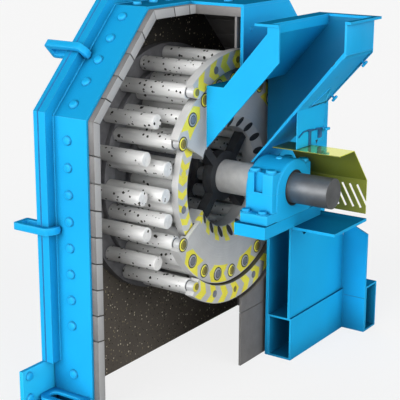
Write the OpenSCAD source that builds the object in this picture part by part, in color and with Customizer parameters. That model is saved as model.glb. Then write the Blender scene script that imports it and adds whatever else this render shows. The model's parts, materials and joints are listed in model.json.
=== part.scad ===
// Cage mill with four rows of pins on two rotors that turn against each other.
// X runs along the shafts, Y from the front wall to the back wall, Z up from the floor.
// The housing, chute and guard are cut open on the +X side, as a sectioned display.

/* [Shaft line] */
// Height of the shafts above the floor
axis_h = 1020; // [1000:5:1060]
// Radius of each journal, where it runs in the bearing and takes the drive
journal_r = 75; // [60:1:80]
// Step in radius from each journal down to the shaft's drive end
drive_step = 1; // [0.5:0.5:5]
// Distance from each bearing's outer side to the start of the drive end
drive_gap = 15; // [5:1:30]
// Radius of each shaft between its rotor and its bearing
sleeve_r = 83; // [81:1:88]
// X of the right shaft's outer end
right_shaft_end = 793; // [700:5:840]
// Distance from the middle to the left shaft's outer end
left_shaft_end = 851; // [700:1:900]

/* [Rotors] */
// Width over the outer faces of the two discs
cage_w = 452; // [430:2:470]
// Thickness of each disc
disc_t = 45; // [40:1:50]
// Thickness of a disc behind a groove
web_t = 22; // [16:1:26]
// Thickness of the end ring of rows 1, 2 and 3
ring_t = 37; // [30:1:40]
// Distance from a row's pin circle to the edges of its end ring
ring_edge = 38; // [37:1:40]
// Least gap between pieces that turn against each other
turn_gap = 6; // [5:0.5:8]
// Gap between a ring and the sides of its groove
groove_gap = 8; // [6:0.5:10]
// Distance from the outer pin circle of a disc to the disc's edge
disc_edge = 48; // [44:1:50]
// Radius of the feed opening in the right disc
feed_r = 253; // [240:1:256]
// Depth of the boss that carries row 1, from the right disc's outer face
boss_t = 100; // [80:2:120]
// Radial width of the bevel around the feed opening
bevel_w = 50; // [30:1:60]
// Depth of the bevel around the feed opening
bevel_t = 30; // [15:1:40]
// Radius of the right rotor's hub
hub_r = 125; // [110:1:150]
// Thickness of the hub and its arms along the shaft
hub_t = 50; // [30:1:60]
// Width of each arm between the hub and the boss
arm_w = 46; // [30:1:60]
// Depth of the hub's outer face below the disc's outer face
hub_inset = 46; // [40:1:50]
// Thickness of the end ring of row 4
outer_ring_t = 45; // [30:1:50]
// Distance by which the row 4 ring stands out past the right disc
outer_ring_out = 20; // [10:1:25]

/* [Pins] */
// Diameter of every pin
pin_d = 72; // [60:1:74]
// Diameter of the spigot that holds a pin in its disc or ring
spigot_d = 50; // [40:1:56]
// Depth of a bare spigot's end below the face of its disc or ring
spigot_recess = 2; // [1:0.5:4]
// Radius of the row 1 pin circle
row_1_r = 295; // [294:1:297]
// Radius of the row 2 pin circle
row_2_r = 390; // [388:1:394]
// Radius of the row 3 pin circle
row_3_r = 490; // [484:1:492]
// Radius of the row 4 pin circle
row_4_r = 588; // [584:1:590]
// Number of pins in row 1
row_1_n = 20; // [10:2:20]
// Number of pins in row 2
row_2_n = 14; // [8:1:20]
// Number of pins in row 3
row_3_n = 24; // [12:12:24]
// Number of pins in row 4
row_4_n = 20; // [10:10:20]

/* [Cut-open parts] */
// Half of the sector cut from the right disc, in degrees
disc_cut = 30; // [30:30:30]
// Half of the sector cut from the row 4 ring, in degrees
ring_cut = 54; // [54:18:72]
// X where the short pins of row 4 end
short_pin_x = 116; // [60:2:180]
// X where the front wall and the roof end
shell_cut_x = -4; // [-60:2:20]
// X where the front liners end
liner_cut_x = 26; // [0:2:60]
// Y where the roof and the upper right wall end
roof_cut_y = -35; // [-60:5:60]
// Y where the lower right wall ends
wall_cut_y = 245; // [200:5:280]
// Y where the lower right liner ends
liner_cut_y = 37; // [0:1:60]

/* [Housing] */
// Distance from the shaft line to the outer face of the front and back walls
shell_half = 840; // [800:5:900]
// Height of the roof above the shaft line
shell_top = 858; // [820:2:900]
// Length of roof or wall that each sloping corner takes off
corner_leg = 460; // [420:5:500]
// Thickness of the housing plates
plate_t = 14; // [10:1:20]
// X of the housing's left end
shell_left = 236; // [234:1:240]
// X of the right wall's outer face
shell_right = 303; // [298:1:320]
// Thickness of the right wall
side_wall_t = 17; // [12:1:20]
// Distance by which the left flange stands out from the housing plates
flange_h = 55; // [40:1:70]
// Width of the left flange along X
flange_w = 38; // [25:1:50]
// Thickness of the packing strip between the flange and the left cover
packing_t = 9; // [4:1:12]
// Distance of the packing strip from the flange's outer edge
packing_inset = 10; // [5:1:20]
// Thickness of the left cover
cover_t = 22; // [14:1:30]
// Height at which the left cover and its flange start
cover_foot = 230; // [180:5:280]
// Gap between a shaft and the plate that it passes through
shaft_gap = 9; // [6:1:14]

/* [Liners] */
// Thickness of the liner blocks
liner_t = 46; // [35:1:60]
// Thickness of the liner plates on the two sides
side_liner_t = 13; // [8:1:13]
// Gap between the row 4 ring and the right liner's round opening
liner_gap = 12; // [8:1:20]

/* [Bearings] */
// X of each bearing's middle
bearing_x = 498; // [490:2:530]
// Width of the sole plate along X
sole_w = 170; // [160:2:200]
// Half of the sole plate's length along Y
sole_half = 270; // [240:5:300]
// Thickness of the sole plate
sole_t = 60; // [40:1:70]
// Height of the bearing's underside below the shaft line
bearing_drop = 138; // [130:1:150]
// Width of the bearing's feet along X
foot_w = 150; // [144:2:156]
// Half of the length over the bearing's feet
foot_half = 250; // [230:5:260]
// Height of the bearing's feet
foot_t = 50; // [40:1:60]
// Width of the bearing's body and cap along X
body_w = 140; // [120:2:142]
// Half of the body's length along Y
body_half = 200; // [180:5:215]
// Radius of the cap's dome
dome_r = 140; // [125:1:150]
// Height of the cap's shoulders above the shaft line
shoulder_h = 62; // [40:2:80]
// Radial clearance of the journal in its bearing
journal_fit = 0.05; // [0.02:0.01:0.09]
// Radial clearance of the arms and bare spigots in the right disc
seat_fit = 0.05; // [0.02:0.01:0.09]

/* [Base] */
// Outside width of the base tubes
tube_w = 140; // [130:2:150]
// Height of the base tubes that run along Y
tube_h = 232; // [200:2:240]
// Wall thickness of all base tubes
tube_t = 10; // [6:1:14]
// Outside depth of the cross tube behind the housing
cross_d = 130; // [110:2:150]
// Height of the cross tube
cross_h = 264; // [240:2:290]
// Distance from the middle to each end of the cross tube
cross_end = 579; // [560:1:620]
// Thickness of the column plates, wings and shelves
column_t = 12; // [8:1:16]
// Width of the column above each base tube
column_w = 128; // [110:2:128]
// Half of the length of the column's level top
column_top_half = 338; // [320:2:360]
// Height at which the column's sloping edges end at the back
column_low_h = 540; // [450:5:600]
// X of the right shelf's outer edge
right_shelf_end = 806; // [780:2:830]
// Distance from the middle to the left shelf's outer edge
left_shelf_end = 770; // [740:2:790]
// Thickness of the shelves
shelf_t = 14; // [10:1:18]
// Half of the left shelf's length
left_shelf_half = 330; // [300:5:335]
// Y of the left base tube's front end
left_tube_front = -700; // [-720:5:-600]
// Height of the wings' outer edges
wing_low_h = 573; // [500:5:620]
// Height of the wings' inner edges
wing_high_h = 637; // [625:5:700]
// Half of the length of the left base plate
base_plate_half = 1054; // [1000:2:1100]
// Height of the front foot's top
foot_h = 80; // [60:2:100]
// Y depth of the front foot
foot_d = 127; // [110:1:150]
// Corner radius of the front foot
foot_corner_r = 50; // [20:5:60]
// Thickness of the front foot's plates
foot_plate_t = 16; // [10:1:20]
// Width of the slot in the front foot
slot_w = 54; // [30:2:60]
// Length of the slot in the front foot
slot_l = 170; // [100:5:180]

/* [Chute] */
// Half of the chute's inside width
chute_half = 270; // [240:5:290]
// Thickness of the chute's plates
chute_t = 10; // [8:1:14]
// X where the chute starts, inside the housing
chute_in = 259; // [257:1:270]
// Rise of the chute's level roof above the shaft line
roof_rise = 501; // [480:1:540]
// X where the chute's roof starts to rise
roof_bend = 353; // [330:1:380]
// X of the hopper's inner wall
hopper_in = 583; // [560:1:600]
// X of the hopper's outer wall
hopper_out = 822; // [800:1:830]
// Rise of the foot of the hopper's inner wall above the shaft line
hopper_rise = 765; // [740:1:780]
// Rise of the rim's underside above the shaft line
rim_rise = 796; // [785:1:820]
// Thickness of the rim
rim_t = 12; // [8:1:16]
// Overhang of the rim at the hopper's outer wall
rim_out = 29; // [20:1:40]
// Overhang of the rim at the hopper's inner wall
rim_in = 64; // [40:1:80]
// Overhang of the rim at the front
rim_front = 15; // [12:1:30]
// Overhang of the rim at the back
rim_back = 45; // [30:1:60]
// X where the chute's floor starts, outside the wall
floor_in = 315; // [305:1:330]
// Rise of the floor's low end above the shaft line
floor_low_rise = 73; // [60:1:90]
// Rise of the floor's high end, at the hopper's outer wall, above the shaft line
floor_high_rise = 671; // [650:1:690]
// X where the front plate ends at the hopper
front_cut_x = 644; // [630:2:680]
// Rise of the front plate's lower corner at the housing above the shaft line
front_low_rise = 206; // [180:2:240]
// Rise of the front plate's lower corner at the hopper above the shaft line
front_high_rise = 638; // [620:2:670]
// X of the leg under the chute's floor
leg_x = 584; // [560:2:600]
// Y where the leg starts
leg_front = 60; // [20:5:100]

/* [Guards] */
// Distance from the middle to the near edge of each guard
guard_in = 457; // [440:1:480]
// X of the right guard's outer edge
guard_out = 819; // [780:1:830]
// Rise of each guard's top above the shaft line
guard_rise = 180; // [170:1:195]
// Half of the width of a guard's level top
guard_top_half = 150; // [120:2:180]
// Half of the width over a guard's sides
guard_half = 300; // [270:2:320]
// Rise of the fold between a guard's sloping top and its side above the shaft line
guard_fold_rise = 9; // [-20:1:40]
// Drop of the right guard's lower edge below the shaft line
guard_drop = 163; // [120:1:180]
// Thickness of the guards
guard_t = 4; // [2:0.5:6]
// Number of slanting slots in the right guard's side, of which the first is open at the edge
guard_slots = 5; // [3:1:6]
// Distance between the slots
guard_slot_pitch = 41; // [34:1:44]
// Width of each slot
guard_slot_w = 12; // [8:1:18]
// Length of each slot
guard_slot_l = 132; // [60:2:140]
// Slant of the slots, in degrees from level
guard_slot_angle = 60; // [45:1:70]
// Distance of the first slot's foot past the guard's outer edge
guard_slot_out = 14; // [0:1:20]
// Height of the slots' feet above the guard's lower edge
guard_slot_low = 28; // [15:1:60]

/* [Clamps] */
// Thickness of a clamp's bar along the flange
clamp_w = 34; // [24:1:44]
// Thickness of a clamp's legs
clamp_t = 26; // [18:1:30]
// X of a clamp's outer end, from the middle
clamp_end = 390; // [360:2:420]
// Distance along the sloping corner to the upper clamp
upper_clamp_at = 335; // [250:5:400]
// Height of the lower clamp
lower_clamp_h = 888; // [800:2:1000]
// Radius of the ball at a clamp's tip
ball_r = 13; // [9:1:15]

/* [Hidden] */
$fn = 96;
blue = "deepskyblue";
lining = "dimgray";
bright = "gainsboro";
disc_face = cage_w / 2;
right_disc_r = row_3_r + disc_edge;
left_disc_r = row_4_r + disc_edge;
outer_ring_in = right_disc_r + turn_gap;
ring_face = disc_face - web_t - turn_gap;
outer_ring_face = disc_face + outer_ring_out;
disc_inner = disc_face - disc_t;
hub_face = disc_face - hub_inset;
pin_sides = 48;
corner_sum = shell_half + shell_top - corner_leg;
cover_inner = shell_left + packing_t;
cover_outer = cover_inner + cover_t;
wall_inner = shell_right - side_wall_t;
liner_face = outer_ring_face + turn_gap;
shelf_h = axis_h - bearing_drop - sole_t;
roof_h = axis_h + roof_rise;
hopper_low = axis_h + hopper_rise;
rim_h = axis_h + rim_rise;
floor_low = axis_h + floor_low_rise;
floor_high = axis_h + floor_high_rise;
front_low = axis_h + front_low_rise;
front_high = axis_h + front_high_rise;
guard_h = axis_h + guard_rise;
guard_fold_h = axis_h + guard_fold_rise;
guard_low_h = axis_h - guard_drop;
drive_r = journal_r - drive_step;
column_h = shelf_h - shelf_t;
floor_slope = (floor_high - floor_low) / (hopper_out - floor_in);
floor_drop = chute_t * sqrt(1 + floor_slope * floor_slope);
floor_at_leg = floor_low + (leg_x - chute_t - floor_in) * floor_slope - floor_drop;
leg_h = guard_h + guard_t;
over = 1;

// Turns a Z-built solid so that it lies on the shaft line, with its length along X
module on_shaft() translate([0, 0, axis_h]) rotate([90, 0, 90]) children();

// Extrudes an outline drawn in Y and Z from one X to another
module along_x(x0, x1) translate([x0, 0, 0]) rotate([90, 0, 90]) linear_extrude(x1 - x0) children();

// Extrudes an outline drawn in X and Z from one Y to another
module along_y(y0, y1) translate([0, y1, 0]) rotate([90, 0, 0]) linear_extrude(y1 - y0) children();

// A block between two corners
module block(low, high) translate(low) cube(high - low);

// Mirrors the right side's solids to the left
module on_left() mirror([1, 0, 0]) children();

// ---- Housing ----

// Corner k of the housing's outline, moved in by a distance from the plates' outer face
function corner(k, inset) =
    let (half = shell_half - inset,
         top = shell_top - inset,
         line = corner_sum - inset * sqrt(2))
    k == 0 ? [-half, 0] :
    k == 1 ? [-half, axis_h + line - half] :
    k == 2 ? [-(line - top), axis_h + top] :
    k == 3 ? [line - top, axis_h + top] :
    k == 4 ? [half, axis_h + line - half] :
    [half, 0];

// Outline of the whole housing, moved in by a distance
module shell_outline(inset) polygon([for (k = [0:5]) corner(k, inset)]);

// One side of the housing between two insets, from corner k to the next
module side_strip(k, outer, inner)
    polygon([corner(k, outer), corner(k + 1, outer), corner(k + 1, inner), corner(k, inner)]);

// A frame that follows the front, roof and back between two insets
module shell_frame(outer, inner) difference() {
    shell_outline(outer);
    shell_outline(inner);
    translate([-shell_half, -over]) square([2 * shell_half, over * 2]);
}

module plate_side(k, x1) along_x(-shell_left, x1) side_strip(k, 0, plate_t);

module liner_side(k, x1) along_x(-shell_left, x1) side_strip(k, plate_t, plate_t + liner_t);

module front_wall() color(blue) plate_side(0, shell_cut_x);

module corner_plates() color(blue) {
    plate_side(1, shell_cut_x);
    plate_side(3, shell_right);
}

module roof_plate() color(blue) difference() {
    plate_side(2, shell_right);
    front_cut(shell_cut_x);
}

// The piece taken off the roof in front of its cut
module front_cut(x0)
    block([x0, -2 * shell_half, axis_h], [shell_right + over, roof_cut_y, axis_h + 2 * shell_top]);

module back_wall() color(blue) plate_side(4, shell_right);

module right_wall() color(blue) difference() {
    along_x(wall_inner, shell_right) shell_outline(plate_t);
    block([wall_inner - over, -2 * shell_half, axis_h], [shell_right + over, roof_cut_y, 3 * axis_h]);
    block([wall_inner - over, -2 * shell_half, -over], [shell_right + over, wall_cut_y, axis_h + over]);
    chute_window();
}

// The opening through which the chute enters the right wall
module chute_window()
    block([wall_inner - over, -chute_half - chute_t, axis_h - over],
          [shell_right + over, chute_half + chute_t, roof_h]);

module left_cover() color(blue) difference() {
    along_x(-cover_outer, -cover_inner) shell_outline(-flange_h);
    block([-cover_outer - over, -2 * shell_half, -over], [-cover_inner + over, 2 * shell_half, cover_foot]);
    on_shaft() translate([0, 0, -cover_outer - over]) cylinder(r = sleeve_r + shaft_gap, h = cover_t + 2 * over);
}

module left_flange() color(blue) difference() {
    along_x(-shell_left, -shell_left + flange_w) shell_frame(-flange_h, 0);
    block([-shell_left - over, -2 * shell_half, -over], [-shell_left + flange_w + over, 2 * shell_half, cover_foot]);
}

module packing_strip() color("midnightblue") difference() {
    along_x(-cover_inner, -shell_left) shell_frame(packing_inset - flange_h, plate_t + liner_t);
    block([-cover_inner - over, -2 * shell_half, -over], [-shell_left + over, 2 * shell_half, cover_foot]);
}

// ---- Liners ----

module front_liner() color(lining) liner_side(0, liner_cut_x);

module corner_liners() color(lining) {
    liner_side(1, liner_cut_x);
    liner_side(3, wall_inner);
}

module roof_liner() color(lining) difference() {
    liner_side(2, wall_inner);
    front_cut(liner_cut_x);
}

module back_liner() color(lining) liner_side(4, wall_inner);

module left_liner() color(lining) difference() {
    along_x(-cover_inner, -cover_inner + side_liner_t) shell_outline(plate_t + liner_t);
    on_shaft() translate([0, 0, -cover_inner - over])
        cylinder(r = sleeve_r + shaft_gap, h = side_liner_t + 2 * over);
}

module right_liner() color(lining) difference() {
    along_x(liner_face, liner_face + side_liner_t) shell_outline(plate_t + liner_t);
    on_shaft() translate([0, 0, liner_face - over])
        cylinder(r = left_disc_r + liner_gap, h = side_liner_t + 2 * over);
    block([liner_face - over, -2 * shell_half, axis_h - over],
          [liner_face + side_liner_t + over, roof_cut_y, 3 * axis_h]);
    block([liner_face - over, -2 * shell_half, -over],
          [liner_face + side_liner_t + over, liner_cut_y, axis_h]);
}

// ---- Base ----

module left_base_plate() color(blue)
    block([-cover_outer, -base_plate_half, 0], [-cover_inner, base_plate_half, cover_foot]);

// A round-ended slot that runs along X
module slot_shape(length, width, depth) union() {
    translate([width / 2, 0, 0]) cylinder(d = width, h = depth);
    translate([length - width / 2, 0, 0]) cylinder(d = width, h = depth);
    translate([width / 2, -width / 2, 0]) cube([length - width, width, depth]);
}

// The foot's outline from above, drawn smaller by an inset
module foot_outline(inset) union() {
    left = -cover_inner + inset;
    front = -shell_half - foot_d + inset;
    translate([left, front + foot_corner_r]) square([shell_cut_x - inset - left, foot_d - foot_corner_r - inset]);
    translate([left + foot_corner_r, front]) square([shell_cut_x - inset - left - foot_corner_r, foot_d - inset]);
    translate([left + foot_corner_r, front + foot_corner_r]) circle(r = foot_corner_r);
}

module front_foot() color(blue) difference() {
    linear_extrude(foot_h) foot_outline(0);
    translate([0, 0, -over]) linear_extrude(foot_h - foot_plate_t + over) foot_outline(foot_plate_t);
    translate([(shell_cut_x - cover_inner - slot_l) / 2, -shell_half - foot_d / 2, 0])
        slot_shape(slot_l, slot_w, foot_h + over);
}

// A rectangular tube between two corners, open along Y or X
module tube_y(low, high) difference() {
    block(low, high);
    block([low[0] + tube_t, low[1] - over, low[2] + tube_t], [high[0] - tube_t, high[1] + over, high[2] - tube_t]);
}

module tube_x(low, high) difference() {
    block(low, high);
    block([low[0] - over, low[1] + tube_t, low[2] + tube_t], [high[0] + over, high[1] - tube_t, high[2] - tube_t]);
}

module cross_tube() color(blue) {
    difference() {
        tube_x([-cover_inner, shell_half, 0], [cross_end, shell_half + cross_d, cross_h]);
        block([-cover_inner - over, shell_half - over, cover_foot],
              [-shell_left + flange_w, shell_half + flange_h, cross_h + over]);
    }
    tube_x([-cross_end, shell_half, 0], [-cover_outer, shell_half + cross_d, cross_h]);
}

module base_tubes() color(blue) {
    tube_y([shell_right, wall_cut_y, 0], [shell_right + tube_w, shell_half, tube_h]);
    tube_y([-cover_outer - tube_w, left_tube_front, 0], [-cover_outer, shell_half, tube_h]);
}

// Side view of the right column: level under the shelf, then down to the back
module right_column_outline() polygon([
    [wall_cut_y, tube_h], [wall_cut_y, column_h], [column_top_half, column_h],
    [shell_half, column_low_h], [shell_half, tube_h]
]);

module right_column() color(blue) {
    outer = shell_right + column_w;
    difference() {
        along_x(outer - column_t, outer) right_column_outline();
        along_x(outer - column_t - over, outer + over) polygon([
            [column_top_half + 13, column_h - 121],
            [column_top_half + 73, column_h - 138],
            [column_top_half + 41, column_h - 147]
        ]);
    }
    block([shell_right, shell_half - column_t, tube_h], [outer - column_t, shell_half, column_low_h]);
}

module right_wing() color(blue) along_y(shell_half - column_t, shell_half) polygon([
    [shell_right + tube_w, 0], [cross_end, 0], [cross_end, wing_low_h],
    [shell_right + column_w, wing_high_h], [shell_right + column_w, tube_h], [shell_right + tube_w, tube_h]
]);

module shelves() color(blue) {
    block([shell_right, 0, column_h], [right_shelf_end, column_top_half, shelf_h]);
    block([-left_shelf_end, -left_shelf_half, column_h], [-cover_outer, left_shelf_half, shelf_h]);
}

module left_column_outline() polygon([
    [left_tube_front, tube_h], [left_tube_front, column_low_h], [-left_shelf_half, column_h],
    [left_shelf_half, column_h], [shell_half, column_low_h], [shell_half, tube_h]
]);

module left_column() color(blue) {
    outer = -cover_outer - column_w;
    along_x(outer, outer + column_t) left_column_outline();
    block([outer + column_t, shell_half - column_t, tube_h], [-cover_outer, shell_half, column_low_h]);
    block([outer + column_t, left_tube_front, tube_h], [-cover_outer, left_tube_front + column_t, column_low_h]);
    block([-cross_end, shell_half - column_t, 0], [-cover_outer - tube_w, shell_half, wing_low_h]);
}

// ---- Bearings, drawn on the right ----

module sole_plate()
    block([bearing_x - sole_w / 2, -sole_half, shelf_h], [bearing_x + sole_w / 2, sole_half, shelf_h + sole_t]);

module journal_bore() on_shaft() translate([0, 0, bearing_x - sole_w])
    cylinder(r = journal_r + journal_fit, h = 2 * sole_w);

module bearing_base() difference() {
    union() {
        block([bearing_x - foot_w / 2, -foot_half, shelf_h + sole_t],
              [bearing_x + foot_w / 2, foot_half, shelf_h + sole_t + foot_t]);
        block([bearing_x - body_w / 2, -body_half, shelf_h + sole_t],
              [bearing_x + body_w / 2, body_half, axis_h]);
    }
    journal_bore();
}

module bearing_cap() difference() {
    union() {
        block([bearing_x - body_w / 2, -body_half, axis_h],
              [bearing_x + body_w / 2, body_half, axis_h + shoulder_h]);
        on_shaft() translate([0, 0, bearing_x - body_w / 2]) cylinder(r = dome_r, h = body_w);
    }
    journal_bore();
    block([bearing_x - sole_w, -2 * body_half, axis_h - 2 * dome_r],
          [bearing_x + sole_w, 2 * body_half, axis_h]);
}

// A solid on the right and its mirror image on the left
module on_both_sides() {
    children();
    on_left() children();
}

module sole_plates() color(blue) on_both_sides() sole_plate();

module bearing_bases() color(blue) on_both_sides() bearing_base();

module bearing_caps() color(blue) on_both_sides() bearing_cap();

// ---- Chute ----

module chute_front() color(blue) along_y(-chute_half - chute_t, -chute_half) polygon([
    [chute_in, front_low], [chute_in, roof_h], [roof_bend, roof_h], [hopper_in, hopper_low],
    [hopper_in, rim_h], [front_cut_x, rim_h], [front_cut_x, front_high]
]);

module chute_roof() color(blue) along_y(-chute_half, chute_half) polygon([
    [chute_in, roof_h], [roof_bend, roof_h], [hopper_in, hopper_low], [hopper_in, rim_h],
    [hopper_in + chute_t, rim_h], [hopper_in + chute_t, hopper_low - chute_t / 2],
    [roof_bend + chute_t / 2, roof_h - chute_t], [chute_in, roof_h - chute_t]
]);

module chute_floor() color(blue) difference() {
    union() {
        along_y(0, chute_half) polygon([
            [shell_right, floor_low - (floor_in - shell_right) * floor_slope],
            [hopper_out, floor_high], [hopper_out, rim_h],
            [hopper_out + chute_t, rim_h], [hopper_out + chute_t, floor_high - floor_drop],
            [shell_right, floor_low - (floor_in - shell_right) * floor_slope - floor_drop]
        ]);
        along_y(leg_front, chute_half) polygon([
            [leg_x - chute_t, leg_h], [leg_x, leg_h],
            [leg_x, floor_at_leg + chute_t * floor_slope], [leg_x - chute_t, floor_at_leg]
        ]);
    }
    on_shaft() translate([0, 0, shell_right - over]) cylinder(r = sleeve_r + shaft_gap, h = chute_half);
}

module chute_back() color(blue) along_y(chute_half, chute_half + chute_t) polygon([
    [chute_in, axis_h], [chute_in, roof_h], [roof_bend, roof_h], [hopper_in, hopper_low],
    [hopper_in, rim_h], [hopper_out + chute_t, rim_h], [hopper_out + chute_t, floor_high - 2 * floor_drop],
    [leg_x, floor_at_leg], [leg_x, leg_h], [shell_right + foot_h, leg_h], [shell_right, axis_h]
]);

module chute_rim() color(blue) difference() {
    block([hopper_in - rim_in, -chute_half - rim_front, rim_h],
          [hopper_out + rim_out, chute_half + rim_back, rim_h + rim_t]);
    block([hopper_in + chute_t, -chute_half, rim_h - over], [hopper_out, chute_half, rim_h + rim_t + over]);
    block([front_cut_x, -2 * chute_half, rim_h - over], [2 * hopper_out, 0, rim_h + rim_t + over]);
}

// ---- Guards ----

// Outer and inner edges of half a guard's section in Y and Z, bent from sheet, down to a height
function guard_outer(low) = [
    [guard_top_half, guard_h + guard_t], [guard_half, guard_fold_h], [guard_half, low]
];
function guard_inner(low) = [
    [guard_half - guard_t, low], [guard_half - guard_t, guard_fold_h - guard_t / 4],
    [guard_top_half - guard_t / 2, guard_h]
];

// The points of an outline in the opposite order, mirrored from the back to the front
function to_front(points) = [for (i = [len(points) - 1:-1:0]) [-points[i][0], points[i][1]]];

module right_guard() color("greenyellow") difference() {
    along_x(guard_in, guard_out) polygon(concat(
        [[0, guard_h], [0, guard_h + guard_t]], guard_outer(guard_low_h), guard_inner(guard_low_h)
    ));
    for (i = [0:guard_slots - 1])
        translate([guard_out + guard_slot_out - i * guard_slot_pitch, guard_half, guard_low_h + guard_slot_low])
            rotate([0, -(180 - guard_slot_angle), 0])
                translate([0, -guard_t - over, -guard_slot_w / 2])
                    cube([guard_slot_l, guard_t + 2 * over, guard_slot_w]);
}

module left_guard() color("greenyellow") on_left() along_x(guard_in, left_shelf_end - shelf_t) polygon(concat(
    guard_outer(shelf_h), guard_inner(shelf_h), to_front(guard_inner(shelf_h)), to_front(guard_outer(shelf_h))
));

// ---- Clamps ----

// A clamp, drawn in X and in distance from the housing plates
module clamp_outline() union() {
    reach = shell_left - flange_w;
    translate([-clamp_end, flange_h + 6]) square([clamp_end - reach + 8, clamp_t]);
    translate([-clamp_end, flange_h - 40 - clamp_t]) square([clamp_t, 46 + 2 * clamp_t]);
    translate([-clamp_end, flange_h - 40 - clamp_t]) square([clamp_end - cover_outer, clamp_t]);
    polygon([
        [-reach - 12, flange_h + 6], [-reach - 12, flange_h + 6 + clamp_t], [-reach + 8, flange_h + 6 + clamp_t],
        [-reach + 34, flange_h - 10], [-reach + 34, ball_r], [-reach + 10, ball_r],
        [-reach + 8, flange_h - 16], [-reach + 3, flange_h + 6]
    ]);
}

module clamp() {
    translate([0, clamp_w / 2, 0]) rotate([90, 0, 0]) linear_extrude(clamp_w) clamp_outline();
    translate([-shell_left + flange_w + 22, 0, ball_r]) sphere(r = ball_r);
}

module cover_clamps() color(blue) {
    translate([0, -shell_half + upper_clamp_at / sqrt(2),
               axis_h + corner_sum - shell_half + upper_clamp_at / sqrt(2)])
        rotate([45, 0, 0]) clamp();
    translate([0, -shell_half, lower_clamp_h]) rotate([90, 0, 0]) clamp();
}

// ---- Rotors ----

// Wedge of the disc between two angles, from one X to another
module wedge(r, a0, a1, x0, x1)
    on_shaft() translate([0, 0, x0]) linear_extrude(x1 - x0) polygon([
        [0, 0], for (i = [0:4]) let (a = a0 + (a1 - a0) * i / 4) 2 * r * [cos(a), sin(a)]
    ]);

// An end ring around a pin circle
module end_ring(r_in, r_out, x0, x1) on_shaft() translate([0, 0, x0]) difference() {
    cylinder(r = r_out, h = x1 - x0);
    translate([0, 0, -over]) cylinder(r = r_in, h = x1 - x0 + 2 * over);
}

// One pin at an angle on a pin circle
module pin(r, angle, x0, x1)
    on_shaft() rotate(angle) translate([r, 0, x0]) rotate(45) cylinder(d = pin_d, h = x1 - x0, $fn = pin_sides);

// A spigot, or the seat for it when a clearance is given
module spigot(r, angle, x0, x1, clearance = 0)
    on_shaft() rotate(angle) translate([r, 0, x0]) rotate(45)
        cylinder(d = spigot_d + 2 * clearance, h = x1 - x0, $fn = pin_sides);

// Size of an angle measured from the front, between 0 and 180
function from_front(angle) = abs(((angle % 360) + 360) % 360 - 180);

module left_disc() color("silver") on_shaft() translate([0, 0, -disc_face]) rotate_extrude() polygon([
    [0, 0], [left_disc_r, 0], [left_disc_r, disc_t],
    [row_3_r + ring_edge + groove_gap, disc_t], [row_3_r + ring_edge + groove_gap, web_t],
    [row_3_r - ring_edge - groove_gap, web_t], [row_3_r - ring_edge - groove_gap, disc_t],
    [row_1_r + ring_edge + groove_gap, disc_t], [row_1_r + ring_edge + groove_gap, web_t],
    [row_1_r - ring_edge - groove_gap, web_t], [row_1_r - ring_edge - groove_gap, disc_t],
    [0, disc_t]
]);

module right_disc() color("silver") difference() {
    on_shaft() translate([0, 0, disc_face]) rotate_extrude() polygon([
        [feed_r + bevel_w, 0], [right_disc_r, 0], [right_disc_r, -disc_t],
        [row_2_r + ring_edge + groove_gap, -disc_t], [row_2_r + ring_edge + groove_gap, -web_t],
        [row_2_r - ring_edge - groove_gap, -web_t], [row_2_r - ring_edge - groove_gap, -boss_t],
        [feed_r, -boss_t], [feed_r, -bevel_t]
    ]);
    wedge(right_disc_r, 180 - disc_cut, 180 + disc_cut, disc_face - boss_t - over, disc_face + over);
    for (angle = [180 - disc_cut, 180 + disc_cut])
        spigot(row_3_r, angle, disc_inner - over, disc_face + over, seat_fit);
}

// The hub and the four arms that carry the right disc by its feed opening
module right_hub() color("silver") on_shaft() translate([0, 0, hub_face - hub_t]) {
    cylinder(r = hub_r, h = hub_t);
    intersection() {
        cylinder(r = feed_r - seat_fit, h = hub_t);
        for (i = [0:3]) rotate(45 + 90 * i) translate([0, -arm_w / 2, 0]) cube([feed_r, arm_w, hub_t]);
    }
}

// End rings of rows 1 and 3, which turn in the left disc's grooves
module right_rings() color(bright) {
    end_ring(row_1_r - ring_edge, row_1_r + ring_edge, -ring_face, -ring_face + ring_t);
    end_ring(row_3_r - ring_edge, row_3_r + ring_edge, -ring_face, -ring_face + ring_t);
}

// End ring of row 2, which turns in the right disc's groove, and the cut ring of row 4 around the disc
module left_rings() color(bright) {
    end_ring(row_2_r - ring_edge, row_2_r + ring_edge, ring_face - ring_t, ring_face);
    difference() {
        end_ring(outer_ring_in, left_disc_r, outer_ring_face - outer_ring_t, outer_ring_face);
        wedge(left_disc_r, 180 - ring_cut, 180 + ring_cut,
              outer_ring_face - outer_ring_t - over, outer_ring_face + over);
        for (angle = [180 - ring_cut, 180 + ring_cut])
            spigot(row_4_r, angle, outer_ring_face - outer_ring_t - over, outer_ring_face + over, seat_fit);
    }
}

module row_1_pins() color(bright) for (i = [0:row_1_n - 1])
    pin(row_1_r, 90 + i * 360 / row_1_n, -ring_face + ring_t, disc_face - boss_t);

module row_2_pins() color(bright) for (i = [0:row_2_n - 1])
    pin(row_2_r, 180 + (i + 0.5) * 360 / row_2_n, -disc_inner, ring_face - ring_t);

// Rows 3 and 4 have bare spigots where the cut passes through a pin, and pins cut short inside the sector
module row_3_pins() color(bright) for (i = [0:row_3_n - 1]) {
    angle = i * 360 / row_3_n;
    away = from_front(angle);
    end = away < disc_cut - 1 ? disc_inner - turn_gap : disc_inner;
    pin(row_3_r, angle, -ring_face + ring_t, end);
    if (abs(away - disc_cut) < 1) spigot(row_3_r, angle, disc_inner - over, disc_face - spigot_recess);
}

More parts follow.
